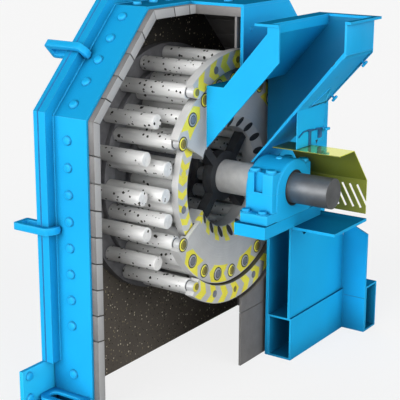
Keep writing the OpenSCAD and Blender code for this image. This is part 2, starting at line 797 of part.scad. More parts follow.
module row_4_pins() color(bright) for (i = [0:row_4_n - 1]) {
    angle = i * 360 / row_4_n;
    away = from_front(angle);
    inner = outer_ring_face - outer_ring_t;
    pin(row_4_r, angle, -disc_inner, away < ring_cut - 1 ? short_pin_x : inner);
    if (abs(away - ring_cut) < 1) spigot(row_4_r, angle, inner - over, outer_ring_face - spigot_recess);
}

// A shaft drawn on the right: a thick sleeve from the rotor, the journal, then the drive end
module shaft(start, end) on_shaft() {
    neck = bearing_x - sole_w / 2;
    drive = bearing_x + body_w / 2 + drive_gap;
    translate([0, 0, start]) cylinder(r = sleeve_r, h = neck - start);
    translate([0, 0, neck]) cylinder(r = journal_r, h = drive - neck);
    translate([0, 0, drive]) cylinder(r = drive_r, h = end - drive);
}

module right_shaft() color("slategray") shaft(hub_face, right_shaft_end);

module left_shaft() color("slategray") on_left() shaft(disc_face, left_shaft_end);

front_wall();
corner_plates();
roof_plate();
back_wall();
right_wall();
left_cover();
left_flange();
packing_strip();
front_liner();
corner_liners();
roof_liner();
back_liner();
left_liner();
right_liner();
left_base_plate();
front_foot();
cross_tube();
base_tubes();
right_column();
right_wing();
left_column();
shelves();
sole_plates();
bearing_bases();
bearing_caps();
chute_front();
chute_roof();
chute_floor();
chute_back();
chute_rim();
right_guard();
left_guard();
cover_clamps();
left_shaft();
left_disc();
left_rings();
row_2_pins();
row_4_pins();
right_shaft();
right_hub();
right_disc();
right_rings();
row_1_pins();
row_3_pins();
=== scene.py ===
import json
import math
from functools import partial

import bpy
from mathutils import Matrix, Vector

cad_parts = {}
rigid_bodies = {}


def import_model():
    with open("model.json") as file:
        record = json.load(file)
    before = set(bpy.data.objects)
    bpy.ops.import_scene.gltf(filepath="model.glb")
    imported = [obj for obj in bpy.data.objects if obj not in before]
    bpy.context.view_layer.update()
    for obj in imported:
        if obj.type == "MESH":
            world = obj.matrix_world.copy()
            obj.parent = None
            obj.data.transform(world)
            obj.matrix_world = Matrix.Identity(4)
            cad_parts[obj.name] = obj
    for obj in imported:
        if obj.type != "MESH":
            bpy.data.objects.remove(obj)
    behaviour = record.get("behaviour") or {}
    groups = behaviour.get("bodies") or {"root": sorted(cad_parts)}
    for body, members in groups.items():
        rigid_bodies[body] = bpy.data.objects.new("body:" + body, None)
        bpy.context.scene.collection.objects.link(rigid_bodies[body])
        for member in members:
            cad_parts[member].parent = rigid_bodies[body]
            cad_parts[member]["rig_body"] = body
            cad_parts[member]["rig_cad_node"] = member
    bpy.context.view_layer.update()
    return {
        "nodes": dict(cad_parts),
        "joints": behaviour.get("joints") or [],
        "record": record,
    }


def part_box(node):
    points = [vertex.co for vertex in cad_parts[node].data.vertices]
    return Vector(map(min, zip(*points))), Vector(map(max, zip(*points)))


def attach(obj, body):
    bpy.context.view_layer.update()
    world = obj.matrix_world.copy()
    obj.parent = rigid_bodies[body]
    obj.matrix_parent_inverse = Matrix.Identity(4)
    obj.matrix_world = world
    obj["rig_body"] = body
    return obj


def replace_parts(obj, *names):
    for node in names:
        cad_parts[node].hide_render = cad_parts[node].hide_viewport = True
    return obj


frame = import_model()
nodes = frame["nodes"]
print("frame loaded:", len(nodes), "nodes")

mm = 0.001
axisHeight = frame["joints"][0]["pos_m"][2]  # the shaft line runs along X at this height
shaftLine = Vector((0, 0, axisHeight))


# working helpers

def sRgb(code):
    channels = [int(code[i:i + 2], 16) / 255 for i in (1, 3, 5)]
    linear = [c / 12.92 if c <= 0.04045 else ((c + 0.055) / 1.055) ** 2.4 for c in channels]
    return (*linear, 1)


def deselectAll():
    if bpy.context.object and bpy.context.object.mode != "OBJECT":
        bpy.ops.object.mode_set(mode="OBJECT")
    bpy.ops.object.select_all(action="DESELECT")


def pick(piece):
    deselectAll()
    piece.select_set(True)
    bpy.context.view_layer.objects.active = piece


def settle(piece):  # moves the object's place and turn into its mesh
    pick(piece)
    bpy.ops.object.transform_apply(location=True, rotation=True, scale=True)
    return piece


def newBlock(name, low, high):
    deselectAll()
    middle = [(a + b) / 2 for a, b in zip(low, high)]
    bpy.ops.mesh.primitive_cube_add(size=1, location=middle)
    block = bpy.context.object
    block.name = name
    block.scale = [b - a for a, b in zip(low, high)]
    return settle(block)


def newRound(name, radius, height, sides=40):  # stands on Z = 0
    deselectAll()
    bpy.ops.mesh.primitive_cylinder_add(
        vertices=sides, radius=radius, depth=height, location=(0, 0, height / 2))
    rod = bpy.context.object
    rod.name = name
    return settle(rod)


def insetFaces(piece, test, steps):  # insets the faces that pass the test by each (width, rise) in turn
    pick(piece)
    bpy.ops.object.mode_set(mode="EDIT")
    bpy.ops.mesh.select_mode(type="FACE")
    bpy.ops.mesh.select_all(action="DESELECT")
    bpy.ops.object.mode_set(mode="OBJECT")
    for face in piece.data.polygons:
        face.select = test(face)
    bpy.ops.object.mode_set(mode="EDIT")
    for width, rise in steps:
        bpy.ops.mesh.inset(thickness=width, depth=rise)
    bpy.ops.object.mode_set(mode="OBJECT")
    return piece


def stepTop(piece, steps):  # the same on the top face
    top = max(v.co.z for v in piece.data.vertices)
    return insetFaces(piece, lambda face: face.normal.z > 0.9 and face.center.z > top - 1e-5, steps)


def onWhole(piece, operator, **settings):  # runs an edit mode operator on the whole mesh
    pick(piece)
    bpy.ops.object.mode_set(mode="EDIT")
    bpy.ops.mesh.select_all(action="SELECT")
    operator(**settings)
    bpy.ops.object.mode_set(mode="OBJECT")
    return piece


def cutLevel(piece, level, keepUp):  # keeps what is over the level, or under it
    return onWhole(piece, bpy.ops.mesh.bisect, plane_co=(0, 0, level), plane_no=(0, 0, 1),
                   use_fill=True, clear_inner=keepUp, clear_outer=not keepUp)


def smooth(piece, angle):
    pick(piece)
    bpy.ops.object.shade_smooth_by_angle(angle=math.radians(angle))
    return piece


def roundEdges(piece, width, segments=2, angle=30):
    pick(piece)
    bevel = piece.modifiers.new("edges", "BEVEL")
    bevel.width = width
    bevel.segments = segments
    bevel.limit_method = "ANGLE"
    bevel.angle_limit = math.radians(angle)
    bpy.ops.object.modifier_apply(modifier=bevel.name)
    return smooth(piece, angle)


def cutWith(piece, tool, operation="DIFFERENCE"):
    pick(piece)
    cut = piece.modifiers.new("cut", "BOOLEAN")
    cut.operation = operation
    cut.solver = "EXACT"
    cut.object = tool
    bpy.ops.object.modifier_apply(modifier=cut.name)
    bpy.data.objects.remove(tool)
    return piece


def copyAt(piece, matrix):
    pick(piece)
    bpy.ops.object.duplicate()
    copy = bpy.context.object
    copy.matrix_world = matrix @ copy.matrix_world
    return settle(copy)


def joined(name, pieces):
    deselectAll()
    for piece in pieces:
        piece.select_set(True)
    bpy.context.view_layer.objects.active = pieces[0]
    if len(pieces) > 1:
        bpy.ops.object.join()
    whole = bpy.context.object
    whole.name = name
    whole.data.name = name
    return whole


def scatter(name, model, matrices):  # one piece from copies of a model, which is then removed
    copies = [copyAt(model, matrix) for matrix in matrices]
    bpy.data.objects.remove(model)
    return joined(name, copies)


def mirrored(piece, axis):  # a second piece on the other side of the middle
    copy = copyAt(piece, Matrix.Scale(-1, 4, Vector(axis)))
    return onWhole(copy, bpy.ops.mesh.normals_make_consistent, inside=False)


def cadCopy(node, name):  # a merged copy of a CAD node, to be finished as a new piece
    pick(nodes[node])
    bpy.ops.object.duplicate()
    copy = bpy.context.object
    copy.name = name
    copy.parent = None
    copy.data.materials.clear()
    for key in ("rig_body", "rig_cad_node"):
        del copy[key]
    bpy.ops.object.mode_set(mode="EDIT")
    bpy.ops.mesh.select_all(action="SELECT")
    bpy.ops.mesh.remove_doubles(threshold=0.00002)
    bpy.ops.mesh.dissolve_limited(angle_limit=math.radians(1))
    bpy.ops.object.mode_set(mode="OBJECT")
    return copy


def finish(piece, material, body):
    piece.data.materials.clear()
    piece.data.materials.append(material)
    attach(piece, body)
    return piece


def standOn(spot, normal, spin=0):  # matrix that stands a Z-built model on a face
    turn = Vector(normal).to_track_quat("Z", "Y").to_matrix().to_4x4()
    return Matrix.Translation(spot) @ turn @ Matrix.Rotation(spin, 4, "Z")


def prism(name, corners, x0, x1, edge):  # a plate between two X over four corners given in Y and Z
    block = newBlock(name, (x0, 0, 0), (x1, 1, 1))
    for v in block.data.vertices:
        low, high = (0, 1) if v.co.z < 0.5 else (3, 2)
        v.co.y, v.co.z = corners[high] if v.co.y > 0.5 else corners[low]
    onWhole(block, bpy.ops.mesh.normals_make_consistent, inside=False)
    return roundEdges(block, edge)


def rodsAlong(points, x, radius, sides, extra=0.0):  # rods from point to point, given in Y and Z
    rods = []
    for (ya, za), (yb, zb) in zip(points[:-1], points[1:]):
        along = Vector((0, yb - ya, zb - za))
        rod = newRound("rod", radius, along.length + extra, sides)
        rod.matrix_world = standOn((x, ya, za), along)
        rods.append(settle(rod))
    return rods


# materials

def addNode(tree, kind, output=None, inputs=(), **settings):
    # one node with its settings and links; gives the output asked for, or the node itself
    node = tree.nodes.new("ShaderNode" + kind)
    for key, value in settings.items():
        setattr(node, key, value)
    for key, value in inputs.items() if isinstance(inputs, dict) else enumerate(inputs):
        if isinstance(value, bpy.types.NodeSocket):
            tree.links.new(value, node.inputs[key])
        else:
            node.inputs[key].default_value = value
    return node if output is None else node.outputs[output]


def openMaterial(material):  # its shader, and short ways to add a node and to link to the shader
    tree = material.node_tree
    shader = tree.nodes["Principled BSDF"]
    link = lambda value, socket: tree.links.new(value, shader.inputs[socket])
    return shader, partial(addNode, tree), link


def startMaterial(name, metallic=0.0, roughness=0.5):
    material = bpy.data.materials.new(name)
    material.use_nodes = True
    shader, add, link = openMaterial(material)
    shader.inputs["Metallic"].default_value = metallic
    shader.inputs["Roughness"].default_value = roughness
    return material, add, link, add("TexCoord", "Object")


def softEdge(add, link, height, distance, radius):  # bump over a worn, rounded edge
    rounded = add("Bevel", "Normal", {"Radius": radius}, samples=4)
    link(add("Bump", "Normal", {
        "Strength": 0.35, "Distance": distance, "Height": height, "Normal": rounded}), "Normal")


def edgeMask(add, radius):  # 1 on an edge, 0 on the flat
    rounded = add("Bevel", "Normal", {"Radius": radius}, samples=4)
    true = add("NewGeometry", "True Normal")
    dot = add("VectorMath", "Value", [rounded, true], operation="DOT_PRODUCT")
    return add("MapRange", 0, [dot, 1.0, 0.93])


def grit(add, place, cellMm, radiusLow, radiusHigh, share):
    # scattered grains: a share of the cells holds one grain with a size of its own;
    # gives where the grains are, and a tone for each cell
    warp = add("TexNoise", "Color", {"Vector": place, "Scale": 1 / (cellMm * 0.35 * mm), "Detail": 2.0})
    push = add("VectorMath", 0, {0: warp, "Scale": cellMm * 0.22 * mm}, operation="SCALE")
    bent = add("VectorMath", 0, [place, push], operation="ADD")
    cells = add("TexVoronoi", None, {
        "Vector": bent, "Scale": 1 / (cellMm * mm), "Randomness": 1.0}, feature="F1")
    split = add("SeparateColor", None, {"Color": cells.outputs["Color"]})
    size = add("MapRange", 0, [split.outputs["Red"], 0.0, 1.0, radiusLow, radiusHigh])
    chosen = add("Math", 0, [split.outputs["Green"], share], operation="LESS_THAN")
    inside = add("Math", 0, [cells.outputs["Distance"], size], operation="LESS_THAN")
    return add("Math", 0, [inside, chosen], operation="MULTIPLY"), split.outputs["Blue"]


def machineEnamel(name, coat, hollowShadeTone, level, hollow=0.8, reach=0.2):
    # Sprayed alkyd enamel on steel plate: an even, satin coat with faint orange peel and dust in
    # soft patches, less specular on level faces; painted light and shade: a painted highlight on the edges,
    # a painted tone on level faces and painted shade in hollows
    colour, shade, light, dust = coat
    material, add, link, place = startMaterial(name)
    broad = add("TexNoise", "Fac", {"Vector": place, "Scale": 1 / (420 * mm), "Detail": 3})
    # real peel is 2 to 3 mm across, too fine to show, so it is drawn at 14 mm
    peel = add("TexNoise", "Fac", {"Vector": place, "Scale": 1 / (14 * mm)})
    patch = add("TexNoise", "Fac", {
        "Vector": place, "Scale": 1 / (160 * mm), "Detail": 6, "Roughness": 0.7})
    even = add("MapRange", 0, [broad, 0.3, 0.7])
    dusty = add("MapRange", 0, [patch, 0.56, 0.8, 0.0, 0.2])
    facing = add("SeparateXYZ", "Z", [add("NewGeometry", "True Normal")])
    # painted tone on faces that look up: painted shade on the blue coats, a painted highlight on the
    # yellow-green one
    upward = add("MapRange", 0, [facing, 0.5, 0.95, 0.0, 0.9])
    # painted shade: hollows and corners are drawn darker, by ambient occlusion
    openness = add("AmbientOcclusion", "AO", {"Distance": reach}, samples=6)
    hollowShadeShare = add("MapRange", 0, [openness, 0.28, 0.8, hollow, 0.0])
    # painted highlight: edges are drawn paler
    paintedEdgeHighlight = add("Math", 0, [edgeMask(add, 0.003), 0.4], operation="MULTIPLY")
    base = sRgb(shade)
    for share, tint in ((even, colour), (dusty, dust), (upward, level), (hollowShadeShare, hollowShadeTone), (paintedEdgeHighlight, light)):
        base = add("Mix", 2, {0: share, 6: base, 7: sRgb(tint)}, data_type="RGBA")
    link(base, "Base Color")
    link(add("MapRange", 0, [broad, 0.2, 0.8, 0.42, 0.54]), "Roughness")
    link(add("MapRange", 0, [upward, 0.0, 0.9, 0.12, 0.0]), "Specular IOR Level")
    softEdge(add, link, peel, 0.0006, 0.0025)
    return material


def castLinerIron(name, face, shade, dust, sawn, sawnFrom):
    # Abrasion-resistant white iron, sand cast and scoured by stone: dull grey and
    # finely pitted, with pale dust in the pits, and bright where it was sawn for show
    material, add, link, place = startMaterial(name, 0.15, 0.62)
    broad = add("TexNoise", "Fac", {
        "Vector": place, "Scale": 1 / (90 * mm), "Detail": 5, "Roughness": 0.6})
    pits = add("TexNoise", "Fac", {
        "Vector": place, "Scale": 1 / (7 * mm), "Detail": 4, "Roughness": 0.7})
    side = add("SeparateXYZ", "X", [place])
    layers = [(add("MapRange", 0, [broad, 0.3, 0.7]), face),
              (add("MapRange", 0, [pits, 0.6, 0.75, 0.0, 0.35]), dust)]
    for x in sawnFrom:
        layers.append((add("Math", 0, [side, x, 0.0006], operation="COMPARE"), sawn))
    base = sRgb(shade)
    for share, tint in layers:
        base = add("Mix", 2, {0: share, 6: base, 7: sRgb(tint)}, data_type="RGBA")
    link(base, "Base Color")
    link(add("MapRange", 0, [pits, 0.3, 0.7, 0.5, 0.68]), "Roughness")
    softEdge(add, link, pits, 0.0012, 0.002)
    return material


def crustedLiner(name, top, bottom):
    # The left side's liner plates, caked with brown rock dust and grit; painted shade makes them
    # black towards the top and lighter brown lower down
    material, add, link, place = startMaterial(name, 0.1, 0.8)
    cloud = add("TexNoise", "Fac", {
        "Vector": place, "Scale": 1 / (150 * mm), "Detail": 5, "Roughness": 0.6})
    fine = add("TexNoise", "Fac", {
        "Vector": place, "Scale": 1 / (9 * mm), "Detail": 5, "Roughness": 0.75})
    # painted shade: darker towards the top, with a cloudy edge
    lower = add("Math", 0, [cloud, 0.7, -0.35], operation="MULTIPLY_ADD")
    height = add("MapRange", 0, [add("SeparateXYZ", "Z", [place]), 0.45, 1.55])
    level = add("Math", 0, [height, lower], operation="ADD", use_clamp=True)
    caked = add("MapRange", 0, [fine, 0.45, 0.75, 0.0, 0.5])
    base = sRgb(bottom)
    for share, tint in ((level, top), (caked, "#3a352b")):
        base = add("Mix", 2, {0: share, 6: base, 7: sRgb(tint)}, data_type="RGBA")
    for cellMm, low, high, share, dark, pale in (
            (11, 0.15, 0.36, 0.42, "#211d15", "#8f856b"), (20, 0.12, 0.30, 0.5, "#15120e", "#c9c0ab")):
        stone, tone = grit(add, place, cellMm, low, high, share)
        isPale = add("Math", 0, [tone, 0.45], operation="GREATER_THAN")
        chip = add("Mix", 2, {0: isPale, 6: sRgb(dark), 7: sRgb(pale)}, data_type="RGBA")
        base = add("Mix", 2, {0: stone, 6: base, 7: chip}, data_type="RGBA")
    link(base, "Base Color")
    softEdge(add, link, add("Math", 0, [fine, stone], operation="ADD"), 0.002, 0.002)
    return material


def pinSteel(name, seatFrom=0.5):
    # Manganese steel bar, kept bright by the stone that slides along it,
    # with dark grains of rock stuck on
    material, add, link, place = startMaterial(name, 0.12, 0.38)
    streaks = add("Mapping", 0, {"Vector": place, "Scale": (0.12, 1, 1)})
    wear = add("TexNoise", "Fac", {
        "Vector": streaks, "Scale": 1 / (26 * mm), "Detail": 4, "Roughness": 0.6})
    even = add("MapRange", 0, [wear, 0.3, 0.7])
    alongX = add("SeparateXYZ", "X", [place])
    # painted shade: the ends by the left disc are drawn darker, those by the right one stay bright
    side = add("MapRange", 0, [alongX, -0.26, 0.02, 0.35, 0.0])
    big, tone = grit(add, place, 52, 0.09, 0.20, 0.55)
    small = grit(add, place, 24, 0.12, 0.32, 0.5)[0]
    specks = add("Math", 0, [big, small], operation="MAXIMUM")
    rock = add("Mix", 2, {0: tone, 6: sRgb("#1d1c1a"), 7: sRgb("#4c4a44")}, data_type="RGBA")
    # the turned seat at the end, which stays in its ring, is grey; a painted shadow draws a dark band where
    # it starts
    onSeat = add("Math", 0, [alongX, seatFrom], operation="GREATER_THAN")
    paintedShoulderShadow = add("Math", 0, [alongX, seatFrom + 0.003, 0.002], operation="COMPARE")
    base = sRgb("#dcdcdb")
    for share, tint in ((even, sRgb("#f6f6f4")), (side, sRgb("#9d9b96")), (specks, rock),
                        (onSeat, sRgb("#c9cacb")), (paintedShoulderShadow, sRgb("#4a4b4c"))):
        base = add("Mix", 2, {0: share, 6: base, 7: tint}, data_type="RGBA")
    link(base, "Base Color")
    link(add("MapRange", 0, [specks, 0, 1, 0.38, 0.85]), "Roughness")
    softEdge(add, link, add("Math", 0, [wear, 0.2, specks], operation="MULTIPLY_ADD"), 0.003, 0.002)
    return material


def polar(add, place):  # angle about the shaft in degrees, distance from it, and X
    centred = add("Mapping", 0, {"Vector": place, "Location": (0, 0, -axisHeight)})
    x, y, z = (add("SeparateXYZ", axis, [centred]) for axis in "XYZ")
    turn = add("Math", 0, [z, y], operation="ARCTAN2")
    angle = add("Math", 0, [turn, 180 / math.pi], operation="MULTIPLY")
    flat = add("CombineXYZ", 0, [0.0, y, z])
    return angle, add("VectorMath", "Value", [flat], operation="LENGTH"), x


def chevronBand(add, angle, radius, across, band):
    # painted chevrons that point along the rotor's turn, on a ring of the disc
    fromMiddle = add("Math", 0, [radius, band["middle"]], operation="SUBTRACT")
    off = add("Math", 0, [fromMiddle], operation="ABSOLUTE")
    begun = add("Math", 0, [angle, band["start"] - 720], operation="SUBTRACT")
    lean = band["way"] * band["lean"] / band["half"]
    along = add("Math", 0, [off, lean, begun], operation="MULTIPLY_ADD")
    turns = add("Math", 0, [along, band["pitch"]], operation="DIVIDE")
    turn = add("Math", 0, [turns], operation="FRACT")
    mark = add("Math", 0, [turn, band["share"]], operation="LESS_THAN")
    for values, test in (([off, band["half"]], "LESS_THAN"), ([across, band["face"]], "GREATER_THAN"),
                         ([angle, -90.0, band.get("around", 360.0)], "COMPARE")):
        mark = add("Math", 0, [mark, add("Math", 0, values, operation=test)], operation="MULTIPLY")
    return mark


def crescents(add, angle, radius, spots):
    # yellow crescents on the front side of round heads that stand in a circle
    ahead = add("Math", 0, [angle, spots["start"] - 720 - spots["pitch"] / 2], operation="SUBTRACT")
    near = add("Math", 0, [ahead, spots["pitch"]], operation="MODULO")
    arc = math.radians(spots["middle"])
    along = add("Math", 0, [near, arc, -arc * spots["pitch"] / 2], operation="MULTIPLY_ADD")
    out = add("Math", 0, [radius, spots["middle"]], operation="SUBTRACT")
    turn = add("Math", 0, [angle], operation="RADIANS")
    shift = spots["size"] * 0.45
    away = []
    for wave, amount, start in (("SINE", shift, along), ("COSINE", -shift, out)):
        swing = add("Math", 0, [turn], operation=wave)
        away.append(add("Math", 0, [swing, amount, start], operation="MULTIPLY_ADD"))
    distance = add("VectorMath", "Value", [add("CombineXYZ", 0, away)], operation="LENGTH")
    return add("Math", 0, [distance, spots["size"]], operation="GREATER_THAN")


def discSteel(name, bands, rims=()):
    # Steel plate with a turned face: fine rings from the tool, rubbed by fines,
    # with chalky yellow direction marks that the stone has chipped a little
    material, add, link, place = startMaterial(name, 0.3, 0.42)
    angle, radius, across = polar(add, place)
    # real tool marks are 0.3 mm apart, too fine to show, so they are drawn at 5 mm
    rings = add("TexNoise", "Fac", {
        "W": radius, "Scale": 1 / (5 * mm), "Detail": 3.0}, noise_dimensions="1D")
    broad = add("TexNoise", "Fac", {
        "Vector": place, "Scale": 1 / (130 * mm), "Detail": 5, "Roughness": 0.6})
    chipping = add("TexNoise", "Fac", {
        "Vector": place, "Scale": 1 / (11 * mm), "Detail": 5, "Roughness": 0.7})
    tone = add("Mix", 0, {0: 0.25, 2: broad, 3: rings})
    even = add("MapRange", 0, [tone, 0.35, 0.65])
    # the ring's inner face, inside the outer pins, stays unpainted and is drawn dark brown: painted shade
    onRims = [add("Math", 0, [radius, edge, 0.0012], operation="COMPARE") for edge in rims]
    # painted shade: hollows and corners are drawn darker, by ambient occlusion
    openness = add("AmbientOcclusion", "AO", {"Distance": 0.07}, samples=6)
    hollowShadeShare = add("MapRange", 0, [openness, 0.2, 0.6, 0.85, 0.0])
    base = sRgb("#cccccb")
    for share, tint in [(even, "#dededc")] + [(onRim, "#5a564d") for onRim in onRims] + [(hollowShadeShare, "#1f1d1a")]:
        base = add("Mix", 2, {0: share, 6: base, 7: sRgb(tint)}, data_type="RGBA")
    marks = [chevronBand(add, angle, radius, across, band) for band in bands]
    mark = marks[0]
    for other in marks[1:]:
        mark = add("Math", 0, [mark, other], operation="MAXIMUM")
    kept = add("Math", 0, [chipping, 0.66], operation="LESS_THAN")
    mark = add("Math", 0, [mark, kept], operation="MULTIPLY")
    yellow = add("Mix", 2, {0: even, 6: sRgb("#eee03c"), 7: sRgb("#fdf65c")}, data_type="RGBA")
    link(add("Mix", 2, {0: mark, 6: base, 7: yellow}, data_type="RGBA"), "Base Color")
    link(add("MapRange", 0, [mark, 0, 1, 0.25, 0.0]), "Metallic")
    link(add("MapRange", 0, [tone, 0.3, 0.7, 0.36, 0.5]), "Roughness")
    softEdge(add, link, add("Math", 0, [rings, mark], operation="ADD"), 0.0006, 0.002)
    return material


def plainSteel(name, face, shade, roughness=0.4, metallic=0.6, sizeMm=40):
    # Machined mild steel: turned or rolled, slightly uneven in tone
    material, add, link, place = startMaterial(name, metallic, roughness)
    tone = add("TexNoise", "Fac", {
        "Vector": place, "Scale": 1 / (sizeMm * mm), "Detail": 5, "Roughness": 0.6})
    even = add("MapRange", 0, [tone, 0.3, 0.7])
    link(add("Mix", 2, {0: even, 6: sRgb(shade), 7: sRgb(face)}, data_type="RGBA"), "Base Color")
    softEdge(add, link, tone, 0.0008, 0.0015)
    return material


def markedHead(name, spots, face, shade, paint="#fbf353"):
    # end of a turned pin: bare steel, with what is left of the yellow mark along one side
    material, add, link, place = startMaterial(name, 0.2, 0.48)
    angle, radius = polar(add, place)[:2]
    tone = add("TexNoise", "Fac", {
        "Vector": place, "Scale": 1 / (12 * mm), "Detail": 5, "Roughness": 0.65})
    even = add("MapRange", 0, [tone, 0.3, 0.7])
    kept = add("Math", 0, [tone, 0.66], operation="LESS_THAN")
    mark = add("Math", 0, [crescents(add, angle, radius, spots), kept], operation="MULTIPLY")
    base = sRgb(shade)
    for share, tint in ((even, face), (mark, paint)):
        base = add("Mix", 2, {0: share, 6: base, 7: sRgb(tint)}, data_type="RGBA")
    link(base, "Base Color")
    link(add("MapRange", 0, [mark, 0, 1, 0.2, 0.0]), "Metallic")
    softEdge(add, link, tone, 0.0006, 0.001)
    return material


def shaftSteel(name, journalFrom):
    # Forged shaft: ground journals that have gone dark with oil,
    # and a pale sleeve between them that is dull with dust
    material, add, link, place = startMaterial(name, 0.7, 0.3)
    across = polar(add, place)[2]
    far = add("Math", 0, [across], operation="ABSOLUTE")
    onJournal = add("Math", 0, [far, journalFrom], operation="GREATER_THAN")
    turning = add("TexNoise", "Fac", {
        "W": across, "Scale": 1 / (4 * mm), "Detail": 4.0}, noise_dimensions="1D")
    film = add("TexNoise", "Fac", {
        "Vector": place, "Scale": 1 / (60 * mm), "Detail": 4, "Roughness": 0.6})
    even = add("MapRange", 0, [film, 0.3, 0.7])
    journal = add("Mix", 2, {0: even, 6: sRgb("#646668"), 7: sRgb("#77797b")}, data_type="RGBA")
    sleeve = add("Mix", 2, {0: even, 6: sRgb("#aeadac"), 7: sRgb("#c4c3c1")}, data_type="RGBA")
    base = add("Mix", 2, {0: onJournal, 6: sleeve, 7: journal}, data_type="RGBA")
    dots = grit(add, place, 30, 0.1, 0.2, 0.14)[0]
    onSleeve = add("Math", 0, [dots, onJournal], operation="GREATER_THAN")
    base = add("Mix", 2, {0: onSleeve, 6: base, 7: sRgb("#2a2926")}, data_type="RGBA")
    link(base, "Base Color")
    link(add("MapRange", 0, [onJournal, 0, 1, 0.2, 0.65]), "Metallic")
    link(add("MapRange", 0, [onJournal, 0, 1, 0.6, 0.47]), "Roughness")
    softEdge(add, link, turning, 0.0003, 0.002)
    return material


def nitrileRubber(name, face, shade):
    # Extruded nitrile packing and lip seals: matt, with a dusty bloom
    material, add, link, place = startMaterial(name, 0.0, 0.78)
    bloom = add("TexNoise", "Fac", {
        "Vector": place, "Scale": 1 / (35 * mm), "Detail": 5, "Roughness": 0.65})
    even = add("MapRange", 0, [bloom, 0.35, 0.7])
    link(add("Mix", 2, {0: even, 6: sRgb(shade), 7: sRgb(face)}, data_type="RGBA"), "Base Color")
    softEdge(add, link, bloom, 0.0008, 0.001)
    return material


def dustyShadedInside(material, dusty, paintedUndersideLight):
    # the chute's inner faces, the back, which looks forward, and the upper side of the sloping floor,
    # are drawn dark with painted shade and rock dust; its underside is drawn lighter with painted light
    shader, add, link = openMaterial(material)
    coat = shader.inputs["Base Color"].links[0].from_socket
    normal = add("NewGeometry", "True Normal")
    normalX, normalY, normalZ = (add("SeparateXYZ", axis, [normal]) for axis in "XYZ")
    depth = add("SeparateXYZ", "Y", [add("TexCoord", "Object")])
    forward = add("Math", 0, [normalY, -0.5], operation="LESS_THAN")
    behind = add("Math", 0, [depth, 0.2], operation="GREATER_THAN")
    back = add("Math", 0, [forward, behind], operation="MULTIPLY")
    lean = add("Math", 0, [normalZ, normalX], operation="SUBTRACT")
    slide = add("Math", 0, [lean, 1.2], operation="GREATER_THAN")
    either = add("Math", 0, [back, slide], operation="MAXIMUM")
    inside = add("Math", 0, [either, 0.6], operation="MULTIPLY")
    under = add("MapRange", 0, [normalZ, -0.3, -0.6, 0.0, 0.55])
    # painted shade inside the chute and painted light on its underside
    for share, tint in ((inside, dusty), (under, paintedUndersideLight)):
        coat = add("Mix", 2, {0: share, 6: coat, 7: sRgb(tint)}, data_type="RGBA")
    link(coat, "Base Color")


def dullShadedInside(material, paintedInsideShade):
    # powder coat that is glossy outside and dull inside the right guard, whose inner faces are drawn dark
    # olive: painted shade
    shader, add, link = openMaterial(material)
    coat = shader.inputs["Base Color"].links[0].from_socket
    facing, upward = (add("SeparateXYZ", axis, [add("NewGeometry", "True Normal")]) for axis in "YZ")
    side = add("SeparateXYZ", "X", [add("TexCoord", "Object")])
    inward = add("Math", 0, [facing, -0.2], operation="LESS_THAN")
    onRight = add("Math", 0, [side, 0.0], operation="GREATER_THAN")
    inside = add("Math", 0, [inward, onRight], operation="MULTIPLY")
    # painted shade on the guard's inner faces
    share = add("Math", 0, [inside, 0.8], operation="MULTIPLY")
    link(add("Mix", 2, {0: share, 6: coat, 7: sRgb(paintedInsideShade)}, data_type="RGBA"), "Base Color")
    # its level top is polished by hands and mirrors what stands over it
    polished = add("MapRange", 0, [upward, 0.9, 0.98])
    rough = add("MapRange", 0, [inside, 0, 1, 0.16, 0.5])
    link(add("Mix", 0, {0: polished, 2: rough, 3: 0.07}), "Roughness")
    link(add("Math", 0, [polished, 0.86], operation="MULTIPLY"), "Metallic")
    gloss = shader.inputs["Specular IOR Level"]
    material.node_tree.links.remove(gloss.links[0])
    gloss.default_value = 0.6


# colours of a coat, its darker parts, its painted edge highlight and the dust on it
blueCoat = ("#1cb6f4", "#19adea", "#5ccdfa", "#2c98d0")
baseCoat = ("#20c6fa", "#1dbef0", "#5ccdfa", "#2c9cd4")
guardCoat = ("#dfe83c", "#d4dd32", "#fbff90", "#c2c94e")
blueEnamel = machineEnamel("blueEnamelOnPlate", blueCoat, "#07365a", "#0f719c")
chuteEnamel = machineEnamel("blueEnamelOnChute", blueCoat, "#0a4f80", "#0f719c", 0.4)
castingEnamel = machineEnamel("blueEnamelOnCasting", blueCoat, "#0a4f80", "#1593ca", 0.75, 0.05)
baseEnamel = machineEnamel("blueEnamelOnBase", baseCoat, "#0b619a", "#1593ca", 0.5, 0.1)
guardEnamel = machineEnamel("yellowGreenEnamelOnSheet", guardCoat, "#4a5410", "#fefe76")
dustyShadedInside(chuteEnamel, "#06304c", "#30b9ff")
dullShadedInside(guardEnamel, "#4c5214")
linerIron = castLinerIron("whiteIronLiner", "#7e7c7b", "#6f6d6c", "#94928e", "#b3b3b3", (0.026, 0.286))
linerCrust = crustedLiner("dustCrustedLiner", "#2a2825", "#57514a")
brightPin = pinSteel("wornManganeseSteel")
seatedPins = {  # bars with a turned seat, each with the X where it starts
    "row_3": pinSteel("wornManganeseSteelRow3", 0.1805),
    "row_4": pinSteel("wornManganeseSteelRow4", 0.2005),
}
seamRubber = nitrileRubber("nitrilePacking", "#157fc0", "#106ba8")
# nitrile for the lip seals; also the dark pieces in the chute's slots and latch hole, which are painted shade
sealRubberAndHoleShade = nitrileRubber("nitrileLipSeal", "#24282c", "#15181b")
dullSteel = plainSteel("dullSteelPlate", "#8d8d90", "#77777a", 0.5, 0.4)
toggleEnamel = plainSteel("paintedToggle", "#0c5f93", "#094b75", 0.5, 0.0)
seamShade = plainSteel("paintedSeam", "#0d78b4", "#0a6599", 0.6, 0.0)
slateSteel = plainSteel("burnishedSteel", "#8e9099", "#7b7d86", 0.45, 0.3, 20)
